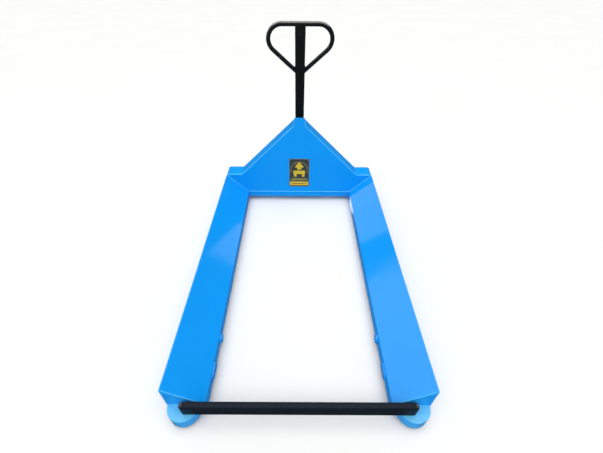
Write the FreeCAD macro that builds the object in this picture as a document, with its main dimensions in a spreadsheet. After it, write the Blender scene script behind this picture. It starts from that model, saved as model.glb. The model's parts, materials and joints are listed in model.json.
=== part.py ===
import FreeCAD, Part
import Sketcher
import math
import os
import re

# Reel-type hand pallet truck. +X is the right-hand fork seen from the fork tips, +Y runs from the
# tips to the tiller, +Z is up. The origin is on the floor, under the middle of the whole truck.
# Each sub-part is drawn with Y measured from the fork tips, and its Placement moves it by tip_y.

DIMENSIONS = {
    # frame, forks and their noses
    "tip_y": -960,
    "plate": 6,
    "fork_inner_x": 410,
    "fork_outer_x": 577,
    "fork_top": 85,
    "fork_base": 25,
    "bed_top": 229,
    "bed_bend": 3,
    "nose_radius": 70,
    "nose_x": 504,
    "nose_y": -2,
    "nose_deck": 8,
    # upright A-frame
    "heel_y": 1629,
    "frame_lean": 7.2,
    "shoulder_x": 452,
    "apex_x": 40,
    "knee_z": 611,
    "apex_top": 670,
    "flange_depth": 115,
    "flange_proud": 4,
    "apex_trim": 12,
    "plate_tongue": 30,
    "shoulder_bend": 20,
    "member_low": 38,
    "member_lip": 40,
    "web_top": 190,
    # crossbar over the noses
    "bar_back_y": -13,
    "bar_depth": 30,
    "bar_height": 72,
    "bar_half": 490,
    "bar_wall": 3,
    "cap_thick": 13,
    "bolt_x": 470,
    "bolt_radius": 6,
    # name plate
    "badge_width": 157,
    "badge_low": 47,
    "badge_height": 234,
    "badge_thick": 1.5,
    "rivet_radius": 4,
    # load rollers and their swinging frames
    "roller_x": 493.5,
    "roller_y": 180,
    "roller_radius": 37,
    "roller_width": 80,
    "core_radius": 24,
    "axle_radius": 10,
    "pivot_y": 335,
    "pivot_z": 52,
    "arm_plate": 8,
    "lug_reach": 30,
    "lug_angle": 25.55,
    "link_pin": 6,
    "running": 0.05,
    "boss_thick": 11,
    "boss_radius": 22,
    "long_boss_y": 166,
    "long_boss_half": 19,
    "long_boss_thick": 6,
    # rocker across the heels and the push rods
    "rocker_y": 1700,
    "rocker_z": 58,
    "rocker_radius": 11,
    "rocker_half": 485,
    "crank_reach": 24.7,
    "rocker_angle": 31.5,
    "rocker_arm": 110,
    "rocker_arm_x": 128,
    "arm_pin": 8,
    "rod_width": 16,
    "rod_half_depth": 9,
    # hydraulic unit, which lifts and steers
    "steer_y": 1863,
    "wheel_radius": 90,
    "wheel_inner_x": 35,
    "wheel_outer_x": 85,
    "rim_radius": 68,
    "steer_axle": 12.5,
    "ring_low": 195,
    "ring_high": 215,
    "column_radius": 30,
    "ring_radius": 48,
    "yoke_half": 152,
    "ram_radius": 16,
    "ram_low": 140,
    "tank_radius": 46,
    "tank_top": 300,
    "neck_top": 312,
    "bracket_low": 316,
    "bracket_high": 346,
    "bracket_half": 25,
    "plunger_y": 1975,
    "plunger_radius": 8,
    "barrel_radius": 17,
    "barrel_top": 262,
    "cap_low": 299,
    "cap_high": 6,
    "cap_radius": 12,
    "spring_seat": 27,
    "spring_radius": 13,
    "coil_radius": 10.4,
    "wire_radius": 1.2,
    "pump_half_x": 30,
    "pump_half_y": 38,
    "pump_foot": 55,
    "face_gap": 0.3,
    "ear_gap": 14,
    "ear_thick": 12,
    "ear_radius": 16,
    "valve_y": 1910,
    "valve_z": 150,
    "valve_pin": 4,
    "plug_x": 32,
    "plug_y": 1849,
    # tiller and handle, drawn along the tiller from its pivot
    "tiller_y": 1961,
    "tiller_z": 300,
    "tiller_lean": 12,
    "tiller_pin": 8,
    "pivot_reach": 38,
    "cheek_x": 28,
    "cheek_thick": 8,
    "rod_seat": -8,
    "tube_width": 66,
    "tube_depth": 40,
    "tube_wall": 3.5,
    "tube_side": 8,
    "tube_bend": 14,
    "tube_low": 130,
    "tube_high": 880,
    "grip_radius": 14,
    "grip_height": 960,
    "grip_straight": 114.5,
    "grip_bend": 90,
    "leg_angle": 43,
    "blade_half": 30,
    "blade_seat": 44,
    "blade_thick": 6,
    "blade_base": 919,
    "blade_rise": 24,
    "housing_width": 66,
    "housing_depth": 43,
    "lever_height": 905,
    "lever_pin": 4,
    "press_reach": 24,
    "press_angle": 38,
    "press_radius": 11,
}

ALIAS = re.compile(r"\b[a-z]+(?:_[a-z]+)*\b")
PLANE_ROLES = {"XY": "XY_Plane", "XZ": "XZ_Plane", "YZ": "YZ_Plane"}

# The slope of a bed and the upright measure of its plate.
BED_RISE = "((bed_top - fork_top) / (fork_outer_x - fork_inner_x))"
BED_PLATE = f"(plate * sqrt(1 + {BED_RISE} ^ 2))"
FRAME_RISE = "tan(frame_lean)"

doc = FreeCAD.newDocument("reel_pallet_truck")
sheet = doc.addObject("Spreadsheet::Sheet", "Dims")
sub_parts = []


def fill_sheet():
    for row, (name, value) in enumerate(DIMENSIONS.items(), start=1):
        sheet.set(f"A{row}", name)
        sheet.set(f"B{row}", str(value))
        sheet.setAlias(f"B{row}", name)
    doc.recompute()


def full(text):
    """Give each alias in an expression its sheet's name."""
    return ALIAS.sub(lambda m: "Dims." + m.group() if m.group() in DIMENSIONS else m.group(), str(text))


def measure(text):
    found = sheet.evalExpression(full(text))
    return float(getattr(found, "Value", found))


def bind(target, prop, text):
    target.setExpression(prop, full(text))


def finish(piece, label, x="0", y="0", z="0", turn=None):
    """Name a sub-part and bind its place; turn is an angle about +X."""
    piece.Label = label
    if turn is not None:
        axis = FreeCAD.Vector(math.copysign(1, measure(turn)), 0, 0)
        piece.Placement.Rotation = FreeCAD.Rotation(axis, abs(measure(turn)))
        bind(piece, "Placement.Rotation.Angle", f"abs({turn})")
    bind(piece, "Placement.Base.x", x)
    bind(piece, "Placement.Base.y", f"tip_y + {y}")
    bind(piece, "Placement.Base.z", z)
    sub_parts.append(piece)
    return piece


class Sketch:
    """A sketch on an origin plane of a body, with every size bound to the sheet."""

    def __init__(self, body, plane, start="0"):
        self.feature = body.newObject("Sketcher::SketchObject", "Outline")
        role = PLANE_ROLES[plane]
        face = next(item for item in body.Origin.OriginFeatures if item.Role == role)
        self.feature.AttachmentSupport = [(face, "")]
        self.feature.MapMode = "FlatFace"
        sign = "-" if plane == "XZ" else ""
        bind(self.feature, "AttachmentOffset.Base.z", f"{sign}({start})")

    def limit(self, kind, *values):
        """Add a constraint whose last value is an expression."""
        place = self.feature.addConstraint(Sketcher.Constraint(kind, *values[:-1], measure(values[-1])))
        bind(self.feature, f"Constraints[{place}]", values[-1])

    def pin(self, geometry, point, where):
        self.limit("DistanceX", -1, 1, geometry, point, where[0])
        self.limit("DistanceY", -1, 1, geometry, point, where[1])

    def polygon(self, corners):
        spots = [FreeCAD.Vector(measure(u), measure(v), 0) for u, v in corners]
        count = len(spots)
        lines = [self.feature.addGeometry(Part.LineSegment(spots[i], spots[(i + 1) % count]))
                 for i in range(count)]
        for i in range(count):
            after = lines[(i + 1) % count]
            self.feature.addConstraint(Sketcher.Constraint("Coincident", lines[i], 2, after, 1))
            self.pin(lines[i], 1, corners[i])
        return self

    def circle(self, centre, radius):
        spot = FreeCAD.Vector(measure(centre[0]), measure(centre[1]), 0)
        ring = self.feature.addGeometry(Part.Circle(spot, FreeCAD.Vector(0, 0, 1), measure(radius)))
        self.pin(ring, 3, centre)
        self.limit("Radius", ring, radius)
        return self

    def link(self, first, second, first_radius, second_radius):
        """The outline of a link: two round ends joined by straight tangent sides."""
        a = FreeCAD.Vector(measure(first[0]), measure(first[1]), 0)
        b = FreeCAD.Vector(measure(second[0]), measure(second[1]), 0)
        ra, rb = measure(first_radius), measure(second_radius)
        along = math.atan2(b.y - a.y, b.x - a.x)
        swing = math.acos((ra - rb) / a.distanceToPoint(b))
        up = FreeCAD.Vector(0, 0, 1)
        first_arc = Part.ArcOfCircle(Part.Circle(a, up, ra), along + swing, along - swing + 2 * math.pi)
        second_arc = Part.ArcOfCircle(Part.Circle(b, up, rb), along - swing, along + swing)
        ends = [self.feature.addGeometry(first_arc), self.feature.addGeometry(second_arc)]
        left = self.feature.addGeometry(Part.LineSegment(first_arc.StartPoint, second_arc.EndPoint))
        right = self.feature.addGeometry(Part.LineSegment(first_arc.EndPoint, second_arc.StartPoint))
        for pair in ((ends[0], 1, left, 1), (ends[0], 2, right, 1),
                     (ends[1], 2, left, 2), (ends[1], 1, right, 2)):
            self.feature.addConstraint(Sketcher.Constraint("Tangent", *pair))
        self.pin(ends[0], 3, first)
        self.pin(ends[1], 3, second)
        self.limit("Radius", ends[0], first_radius)
        self.limit("Radius", ends[1], second_radius)
        return self


class Piece:
    """A body built up from pads and pockets along the axes of its own frame."""

    def __init__(self):
        self.body = doc.addObject("PartDesign::Body", "Body")

    def extrude(self, kind, sketch, plane, length, both=False):
        feature = self.body.newObject(f"PartDesign::{kind}", kind)
        feature.Profile = sketch.feature
        bind(feature, "Length", length)
        sketch_normal_is_minus_y = plane == "XZ"
        cuts = kind == "Pocket"
        feature.Reversed = sketch_normal_is_minus_y != cuts
        if both:
            feature.Midplane = True
        return feature

    def checked(self, feature, kind):
        """A pad has to add volume and a pocket has to take some away."""
        doc.recompute()
        base = feature.BaseFeature
        if base is not None:
            grown = feature.Shape.Volume - base.Shape.Volume
            if (grown <= 0) if kind == "Pad" else (grown >= 0):
                raise ValueError(f"{feature.Name} of {self.body.Name} does nothing")
        return self

    def _solid(self, kind, plane, draw, start, length, both):
        sketch = Sketch(self.body, plane, start)
        draw(sketch)
        return self.checked(self.extrude(kind, sketch, plane, length, both), kind)

    def pad(self, plane, draw, start, length, both=False):
        return self._solid("Pad", plane, draw, start, length, both)

    def pocket(self, plane, draw, start, length, both=False):
        return self._solid("Pocket", plane, draw, start, length, both)

    def round(self, kind, size, keep):
        """Fillet or chamfer the edges of the tip whose middle passes the test."""
        doc.recompute()
        tip = self.body.Tip
        edges = [f"Edge{i}" for i, edge in enumerate(tip.Shape.Edges, start=1) if keep(edge)]
        feature = self.body.newObject(f"PartDesign::{kind}", kind)
        feature.Base = (tip, edges)
        bind(feature, "Radius" if kind == "Fillet" else "Size", size)
        doc.recompute()
        return self


def rectangle(u, v, width, height):
    """Corners of a rectangle from its low corner."""
    return [(u, v), (f"{u} + {width}", v), (f"{u} + {width}", f"{v} + {height}"), (u, f"{v} + {height}")]


def polygon(corners):
    return lambda sketch: sketch.polygon(corners)


def circle(u, v, radius):
    return lambda sketch: sketch.circle((u, v), radius)


def link(first, second, first_radius, second_radius):
    return lambda sketch: sketch.link(first, second, first_radius, second_radius)


def middle(edge):
    return edge.valueAt((edge.FirstParameter + edge.LastParameter) / 2)


def runs_along(edge, axis):
    """True for a straight edge parallel to the axis (0, 1 or 2)."""
    if len(edge.Vertexes) != 2 or not isinstance(edge.Curve, Part.Line):
        return False
    return abs(abs(edge.Curve.Direction[axis]) - 1) < 1e-6


def at(edge, axis, *values):
    return any(abs(middle(edge)[axis] - value) < 0.5 for value in values)


def pins(label, rods):
    """A group of round pins along X: each is (low x, length, y, z, radius)."""
    solids = []
    for low_x, length, y, z, radius in rods:
        solid = doc.addObject("Part::Cylinder", "Pin")
        solid.Placement.Rotation = FreeCAD.Rotation(FreeCAD.Vector(0, 1, 0), 90)
        bind(solid, "Radius", radius)
        bind(solid, "Height", length)
        bind(solid, "Placement.Base.x", low_x)
        bind(solid, "Placement.Base.y", y)
        bind(solid, "Placement.Base.z", z)
        solids.append(solid)
    return grouped(label, solids)


def grouped(label, solids, **place):
    group = doc.addObject("Part::Compound", "Group")
    group.Links = solids
    return finish(group, label, **place)


def mirrored_low(side, low, width):
    """The low X of a slab that spans low..low+width on the right-hand side."""
    return low if side > 0 else f"-({low}) - ({width})"


# ---------------------------------------------------------------- forks

def fork(side, label):
    """Bent plate: upright inner wall, sloped bed and upright outer wall, open below."""
    outline = [
        ("fork_inner_x", "fork_base"),
        ("fork_inner_x", "fork_top"),
        ("fork_outer_x", "bed_top"),
        ("fork_outer_x", "fork_base"),
        ("fork_outer_x - plate", "fork_base"),
        ("fork_outer_x - plate", f"bed_top - plate * {BED_RISE} - {BED_PLATE}"),
        ("fork_inner_x + plate", f"fork_top + plate * {BED_RISE} - {BED_PLATE}"),
        ("fork_inner_x + plate", "fork_base"),
    ]
    behind_frame = [
        (f"heel_y - fork_top * {FRAME_RISE}", "0"),
        ("heel_y + 200", "0"),
        ("heel_y + 200", "bed_top + 20"),
        (f"heel_y + (bed_top + 20 - fork_top) * {FRAME_RISE}", "bed_top + 20"),
    ]
    piece = Piece()
    piece.pad("XZ", polygon([(f"{side} * ({u})", v) for u, v in outline]), "0", "heel_y + 40")
    piece.pocket("YZ", polygon(behind_frame), "0", "1400", both=True)
    inner, outer = measure("fork_inner_x"), measure("fork_outer_x")
    piece.round("Fillet", "bed_bend", lambda edge: runs_along(edge, 1) and (
        (at(edge, 0, side * inner) and at(edge, 2, measure("fork_top")))
        or (at(edge, 0, side * outer) and at(edge, 2, measure("bed_top")))))
    low = mirrored_low(side, "fork_inner_x - 1", "fork_outer_x - fork_inner_x + 2")
    piece.pocket("YZ", circle("pivot_y", "pivot_z", "axle_radius"), low,
                 "fork_outer_x - fork_inner_x + 2")
    return finish(piece.body, label)


def fork_end(side, label):
    """Plate that closes the tip of a fork under its bed."""
    outline = [
        ("fork_inner_x + plate", "fork_base"),
        ("fork_outer_x - plate", "fork_base"),
        ("fork_outer_x - plate", f"bed_top - plate * {BED_RISE} - {BED_PLATE}"),
        ("fork_inner_x + plate", f"fork_top + plate * {BED_RISE} - {BED_PLATE}"),
    ]
    piece = Piece()
    piece.pad("XZ", polygon([(f"{side} * ({u})", v) for u, v in outline]), "0", "plate")
    return finish(piece.body, label)


def nose(side, label):
    """Half-round tongue in front of a fork, hollow below, with a hole for the crossbar's bolt."""
    centre = f"{side} * nose_x"
    piece = Piece()
    piece.pad("XY", circle(centre, "nose_y", "nose_radius"), "fork_base", "fork_top - fork_base")
    behind_tip = rectangle(f"{centre} - 100", "0", "200", "100")
    piece.pocket("XY", polygon(behind_tip), "0", "fork_top + 10")
    top_z = measure("fork_top")
    piece.round("Fillet", "3", lambda edge: at(edge, 2, top_z) and not runs_along(edge, 0))
    piece.pocket("XY", circle(centre, "nose_y", "nose_radius - plate"), "0", "fork_top - nose_deck")
    piece.pocket("XY", circle(f"{side} * bolt_x", "bar_back_y - bar_depth / 2", "bolt_radius"),
                 "0", "fork_top + 10")
    return finish(piece.body, label)


def wall_bosses(side, label):
    """Two bosses on the inner wall: a round one at the pivot and a long one beside the roller."""
    low = mirrored_low(side, "fork_inner_x - boss_thick", "boss_thick")
    long_low = mirrored_low(side, "fork_inner_x - long_boss_thick", "long_boss_thick")
    piece = Piece()
    piece.pad("YZ", circle("pivot_y", "pivot_z", "boss_radius"), low, "boss_thick")
    piece.pocket("YZ", circle("pivot_y", "pivot_z", "axle_radius"), low, "boss_thick")
    ends = [(f"long_boss_y {sign} long_boss_half", "pivot_z") for sign in "-+"]
    long_one = Piece()
    long_one.pad("YZ", link(*ends, "boss_radius", "boss_radius"), long_low, "long_boss_thick")
    return grouped(label, [piece.body, long_one.body])


# ---------------------------------------------------------------- A-frame

LEAN_SCALE = "cos(frame_lean)"
SHOULDER_V = f"((bed_top - fork_top) / {LEAN_SCALE})"
KNEE_V = f"((knee_z - fork_top) / {LEAN_SCALE})"
APEX_V = f"((apex_top - fork_top) / {LEAN_SCALE})"
BASE_V = f"((fork_base - fork_top) / {LEAN_SCALE})"
DIAGONAL = f"atan(({KNEE_V} - {SHOULDER_V}) / (shoulder_x - apex_x))"
SHOULDER_IN = f"tan({DIAGONAL} / 2)"
KNEE_IN = f"cos({DIAGONAL}) / (1 + sin({DIAGONAL}))"
FLANGE_TOP = f"({SHOULDER_V} + flange_proud)"
FLANGE_KNEE = f"({KNEE_V} + flange_proud * {KNEE_IN})"
FLANGE_CORNERS = [
    ("fork_outer_x", BASE_V, "-plate", "0"),
    ("fork_outer_x", FLANGE_TOP, "-plate", "-plate"),
    (f"(shoulder_x + flange_proud * {SHOULDER_IN})", FLANGE_TOP, f"-plate * {SHOULDER_IN}", "-plate"),
    ("(apex_x + flange_proud)", FLANGE_KNEE, "-plate", f"-plate * {KNEE_IN}"),
    ("(apex_x + flange_proud)", APEX_V, "-plate", "0"),
]
GUSSET_REACH = 1.3


def front_plate(label):
    """The leaning plate between the beds and the apex."""
    right = [
        ("fork_inner_x", "0"),
        ("fork_inner_x", "-plate_tongue"),
        ("fork_outer_x", f"{SHOULDER_V} - plate_tongue"),
        ("fork_outer_x", SHOULDER_V),
        ("shoulder_x", SHOULDER_V),
        ("apex_x", KNEE_V),
        ("apex_x", APEX_V),
    ]
    left = [(f"-({u})", v) for u, v in reversed(right)]
    piece = Piece()
    piece.pad("XZ", polygon(right + left), "0", "plate")
    outer, shoulder = measure("fork_outer_x"), measure(SHOULDER_V)
    apex, knee, top = measure("apex_x"), measure(KNEE_V), measure(APEX_V)
    neck = measure("shoulder_x")
    corners = {(outer, shoulder), (neck, shoulder), (apex, knee)}
    piece.round("Fillet", "shoulder_bend", lambda edge: runs_along(edge, 1) and any(
        at(edge, 0, x, -x) and at(edge, 2, z) for x, z in corners))
    piece.round("Fillet", "10", lambda edge: runs_along(edge, 1)
                and at(edge, 0, apex, -apex) and at(edge, 2, top))
    return finish(piece.body, label, y="heel_y", z="fork_top", turn="-frame_lean")


def flange(side, label):
    """Bent strip behind the front plate and a little proud of its edge: outer cheek, shoulder, diagonal,
    and an apex side cut to a gusset."""
    outside = [(f"{side} * {u}", v) for u, v, _, _ in FLANGE_CORNERS]
    inside = [(f"{side} * ({u} + ({du}))", f"{v} + ({dv})") for u, v, du, dv in FLANGE_CORNERS]
    piece = Piece()
    sketch = Sketch(piece.body, "XZ", "plate")
    sketch.polygon(outside + inside[::-1])
    strip = piece.extrude("Pad", sketch, "XZ", "flange_depth")
    strip.UseCustomVector = True
    strip.Reversed = False
    bind(strip, "Direction.x", "0")
    bind(strip, "Direction.y", "cos(frame_lean)")
    bind(strip, "Direction.z", "sin(frame_lean)")
    piece.checked(strip, "Pad")
    across = measure("cos(frame_lean)")

    def round_bends(corners, radius):
        spots = [(measure(u), measure(v)) for u, v in corners]
        piece.round("Fillet", radius, lambda edge: isinstance(edge.Curve, Part.Line)
                    and abs(abs(edge.Curve.Direction.y) - across) < 1e-6
                    and any(at(edge, 0, x) and abs(edge.BoundBox.ZMin - v) < 0.5 for x, v in spots))

    round_bends(outside[1:4], "shoulder_bend")
    round_bends(inside[1:2], "shoulder_bend - plate")
    round_bends(inside[2:4], "shoulder_bend + plate")
    top = f"({APEX_V} - apex_trim)"
    fall = f"({top} - {FLANGE_KNEE} - flange_depth * tan(frame_lean))"
    front_top = ("plate", top)
    past_rear = (f"plate + {GUSSET_REACH} * flange_depth", f"{top} - {GUSSET_REACH} * {fall}")
    above = [(y, f"{v} + flange_depth") for y, v in (past_rear, front_top)]
    wide = "apex_x + shoulder_bend"
    piece.pocket("YZ", polygon([front_top, past_rear] + above), mirrored_low(side, "0", wide), wide)
    return finish(piece.body, label, y="heel_y", z="fork_top", turn="-frame_lean")


def cross_member(label):
    """Upright wall with a bottom lip that ties the two forks together under the front plate."""
    profile = [
        ("heel_y", "fork_top"),
        ("heel_y", "member_low"),
        ("heel_y + member_lip", "member_low"),
        ("heel_y + member_lip", "member_low + plate"),
        ("heel_y + plate", "member_low + plate"),
        ("heel_y + plate", f"fork_top - plate * {FRAME_RISE}"),
    ]
    piece = Piece()
    piece.pad("YZ", polygon(profile), "0", "2 * fork_inner_x", both=True)
    return finish(piece.body, label)


def behind_plate(z):
    """Y of the front plate's rear face at a height."""
    return f"heel_y + plate / cos(frame_lean) + ({z} - fork_top) * {FRAME_RISE}"


def heel_web(side, label):
    """Inner cheek of the heel, with the long bearing boss of the rocker."""
    back = "heel_y + plate + flange_depth"
    profile = [
        (behind_plate("fork_base"), "fork_base"),
        (back, "fork_base"),
        (back, "web_top - 60"),
        (f"{back} - 60", "web_top"),
        (behind_plate("web_top"), "web_top"),
    ]
    piece = Piece()
    piece.pad("YZ", polygon(profile), mirrored_low(side, "fork_inner_x", "plate"), "plate")
    boss_low = mirrored_low(side, "fork_inner_x - 20", "50")
    piece.pad("YZ", circle("rocker_y", "rocker_z", "rocker_radius + 9"), boss_low, "50")
    piece.pocket("YZ", circle("rocker_y", "rocker_z", "rocker_radius + running"), boss_low, "50")
    return finish(piece.body, label)


def head_bracket(label):
    """Arm that carries the load from the front plate to the top of the lift ram."""
    crown = "bracket_high + 120"
    profile = [
        (behind_plate("bracket_low"), "bracket_low"),
        (behind_plate(crown), crown),
        (f"{behind_plate(crown)} + 12", crown),
        ("steer_y - 60", "bracket_high"),
        ("steer_y + bracket_half", "bracket_high"),
        ("steer_y + bracket_half", "bracket_low"),
    ]
    end = measure("steer_y + bracket_half")
    piece = Piece()
    piece.pad("YZ", polygon(profile), "0", "2 * bracket_half", both=True)
    piece.round("Fillet", "bracket_half - 0.1", lambda edge: runs_along(edge, 2) and at(edge, 1, end))
    piece.pocket("XY", circle("0", "steer_y", "ram_radius"), "bracket_low", "bracket_high - bracket_low - 15")
    return finish(piece.body, label)


def lift_ram(label):
    ram = doc.addObject("Part::Cylinder", "Ram")
    bind(ram, "Radius", "ram_radius")
    bind(ram, "Height", "bracket_high - 15 - ram_low")
    return finish(ram, label, y="steer_y", z="ram_low")


def badge_plate(label):
    """Thin name plate on the front plate."""
    plate = Piece()
    outline = rectangle("-badge_width / 2", "badge_low", "badge_width", "badge_height")
    plate.pad("XZ", polygon(outline), "-badge_thick", "badge_thick")
    plate.round("Fillet", "6", lambda edge: runs_along(edge, 1))
    return finish(plate.body, label, y="heel_y", z="fork_top", turn="-frame_lean")


def badge_rivets(label):
    rivets = []
    for side in (-1, 1):
        for height in ("badge_low + 10", "badge_low + badge_height - 10"):
            rivet = doc.addObject("Part::Cylinder", "Rivet")
            rivet.Placement.Rotation = FreeCAD.Rotation(FreeCAD.Vector(1, 0, 0), 90)
            bind(rivet, "Radius", "rivet_radius")
            bind(rivet, "Height", "1.5")
            bind(rivet, "Placement.Base.x", f"{side} * (badge_width / 2 - 10)")
            bind(rivet, "Placement.Base.y", "-badge_thick")
            bind(rivet, "Placement.Base.z", height)
            rivets.append(rivet)
    return grouped(label, rivets, y="heel_y", z="fork_top", turn="-frame_lean")


# ---------------------------------------------------------------- crossbar

def crossbar(label):
    """Rectangular tube on edge across the two noses."""
    front = "bar_back_y - bar_depth"
    piece = Piece()
    piece.pad("YZ", polygon(rectangle(front, "fork_top", "bar_depth", "bar_height")),
              "0", "2 * bar_half", both=True)
    piece.round("Fillet", "8", lambda edge: runs_along(edge, 0))
    piece.pocket("YZ", polygon(rectangle(f"{front} + bar_wall", "fork_top + bar_wall",
                                         "bar_depth - 2 * bar_wall", "bar_height - 2 * bar_wall")),
                 "0", "2 * bar_half", both=True)
    for side in (-1, 1):
        piece.pocket("XY", circle(f"{side} * bolt_x", "bar_back_y - bar_depth / 2", "bolt_radius"),
                     "fork_top", "bar_wall")
    return finish(piece.body, label)


def crossbar_caps(label):
    """End caps, rounded at their corners and along their outer edges."""
    caps = []
    for side in (-1, 1):
        inner, outer = side * measure("bar_half"), side * measure("bar_half + cap_thick")
        piece = Piece()
        piece.pad("YZ", polygon(rectangle("bar_back_y - bar_depth", "fork_top", "bar_depth", "bar_height")),
                  mirrored_low(side, "bar_half", "cap_thick"), "cap_thick")
        piece.round("Fillet", "12", lambda edge: runs_along(edge, 2) and at(edge, 0, outer))
        piece.round("Fillet", "8", lambda edge: edge.BoundBox.ZLength < 1e-6 and not at(edge, 0, inner))
        caps.append(piece.body)
    return grouped(label, caps)


def crossbar_bolts(label):
    """One bolt up through each nose into the crossbar."""
    bolts = []
    for side in (-1, 1):
        piece = Piece()
        spot = (f"{side} * bolt_x", "bar_back_y - bar_depth / 2")
        piece.pad("XY", circle(*spot, "bolt_radius"), "fork_top - nose_deck", "nose_deck + 14")
        piece.pad("XY", circle(*spot, "bolt_radius + 4"), "fork_top - nose_deck - 8", "8")
        bolts.append(piece.body)
    return grouped(label, bolts)


# ---------------------------------------------------------------- load rollers

LUG_Y = "(pivot_y + lug_reach * sin(lug_angle))"
LUG_Z = "(pivot_z + lug_reach * cos(lug_angle))"
FRAME_LOW = "roller_x - roller_width / 2 - 2 - arm_plate"
FRAME_WIDE = "roller_width + 4 + 2 * arm_plate"


def roller_frame(side, label):
    """Swinging fork round the load roller, with a cross tube at its pivot and two lugs above it."""
    low = mirrored_low(side, FRAME_LOW, FRAME_WIDE)
    piece = Piece()
    piece.pad("YZ", link(("pivot_y", "pivot_z"), ("roller_y", "roller_radius"), "15", "15"), low, FRAME_WIDE)
    gap_low = mirrored_low(side, "roller_x - roller_width / 2 - 2", "roller_width + 4")
    gap = rectangle(gap_low, "roller_y - 60", "roller_width + 4", "pivot_y - roller_y + 43")
    piece.pocket("XY", polygon(gap), "0", "150")
    for offset in ("-17.5", "9.5"):
        lug_low = mirrored_low(side, f"roller_x + {offset}", "arm_plate")
        piece.pad("YZ", link(("pivot_y", "pivot_z"), (LUG_Y, LUG_Z), "14.5", "12"), lug_low, "arm_plate")
    piece.pocket("YZ", circle("pivot_y", "pivot_z", "axle_radius + running"), low, FRAME_WIDE)
    piece.pocket("YZ", circle("roller_y", "roller_radius", "axle_radius"), low, FRAME_WIDE)
    piece.pocket("YZ", circle(LUG_Y, LUG_Z, "link_pin"), low, FRAME_WIDE)
    return finish(piece.body, label)


def load_roller(side, core_label, tread_label):
    low = mirrored_low(side, "roller_x - roller_width / 2", "roller_width")
    core = Piece()
    core.pad("YZ", circle("roller_y", "roller_radius", "core_radius"), low, "roller_width")
    core.pocket("YZ", circle("roller_y", "roller_radius", "axle_radius + running"), low, "roller_width")
    finish(core.body, core_label)
    tread = Piece()
    tread.pad("YZ", circle("roller_y", "roller_radius", "roller_radius"), low, "roller_width")
    rim = measure("roller_radius")
    tread.round("Fillet", "3", lambda edge: not runs_along(edge, 0) and abs(edge.Curve.Radius - rim) < 0.1)
    tread.pocket("YZ", circle("roller_y", "roller_radius", "core_radius"), low, "roller_width")
    finish(tread.body, tread_label)


def roller_pins(side, label):
    """The roller's axle and the pin that the push rod works on."""
    axle = (mirrored_low(side, FRAME_LOW, FRAME_WIDE), FRAME_WIDE, "roller_y", "roller_radius", "axle_radius")
    lug_low = mirrored_low(side, "roller_x - 17.5", "35")
    return pins(label, [axle, (lug_low, "35", LUG_Y, LUG_Z, "link_pin")])


def roller_pivot(side, label):
    wide = "fork_outer_x - fork_inner_x + boss_thick"
    low = mirrored_low(side, "fork_inner_x - boss_thick", wide)
    return pins(label, [(low, wide, "pivot_y", "pivot_z", "axle_radius")])


# ---------------------------------------------------------------- rocker and push rods

CRANK_Y = "(rocker_y + crank_reach * sin(rocker_angle))"
CRANK_Z = "(rocker_z - crank_reach * cos(rocker_angle))"
ARM_Y = "(rocker_y + rocker_arm * cos(rocker_angle))"
ARM_Z = "(rocker_z + rocker_arm * sin(rocker_angle))"
# Half-way through the lift the lug stands higher and the crank lower than at its ends.
LUG_RISE = "(lug_reach * (1 - cos(lug_angle)))"
CRANK_DROP = "(crank_reach * (1 - cos(rocker_angle)))"


def rocker(label):
    """Shaft across both heels, with two long arms to the lift yoke and a crank in each heel."""
    piece = Piece()
    piece.pad("YZ", circle("rocker_y", "rocker_z", "rocker_radius"), "0", "2 * rocker_half", both=True)
    for side in (-1, 1):
        arm_low = mirrored_low(side, "rocker_arm_x", "10")
        piece.pad("YZ", link(("rocker_y", "rocker_z"), (ARM_Y, ARM_Z), "20", "15"), arm_low, "10")
        piece.pocket("YZ", circle(ARM_Y, ARM_Z, "arm_pin"), arm_low, "10")
        crank_low = mirrored_low(side, "rocker_half - arm_plate", "arm_plate")
        crank = link(("rocker_y", "rocker_z"), (CRANK_Y, CRANK_Z), "16", "11")
        piece.pad("YZ", crank, crank_low, "arm_plate")
        piece.pocket("YZ", circle(CRANK_Y, CRANK_Z, "link_pin"), crank_low, "arm_plate")
    return finish(piece.body, label)


def rocker_pins(label):
    rods = []
    for side in (-1, 1):
        rods.append((mirrored_low(side, "rocker_arm_x", "28"), "28", ARM_Y, ARM_Z, "arm_pin"))
        rods.append((mirrored_low(side, "rocker_half - arm_plate", "27"), "27", CRANK_Y, CRANK_Z, "link_pin"))
    return pins(label, rods)


def push_rod(side, label):
    """Bar under the bed from the crank to the roller frame, with a slotted eye at each end."""
    low = mirrored_low(side, "roller_x - rod_width / 2", "rod_width")
    front = (LUG_Y, f"({LUG_Z} + {LUG_RISE} / 2)")
    rear = (CRANK_Y, f"({CRANK_Z} - {CRANK_DROP} / 2)")
    piece = Piece()
    piece.pad("YZ", link(front, rear, "rod_half_depth", "rod_half_depth"), low, "rod_width")
    for eye, slack, radius in ((front, LUG_RISE, "12.5"), (rear, CRANK_DROP, "13")):
        piece.pad("YZ", circle(*eye, radius), low, "rod_width")
        half_high = f"({slack} / 2 + link_pin + 0.4)"
        half_long = "(link_pin + 0.7)"
        slot = rectangle(f"{eye[0]} - {half_long}", f"{eye[1]} - {half_high}",
                         f"2 * {half_long}", f"2 * {half_high}")
        piece.pocket("YZ", polygon(slot), low, "rod_width")
    return finish(piece.body, label)


# ---------------------------------------------------------------- hydraulic unit

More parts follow.
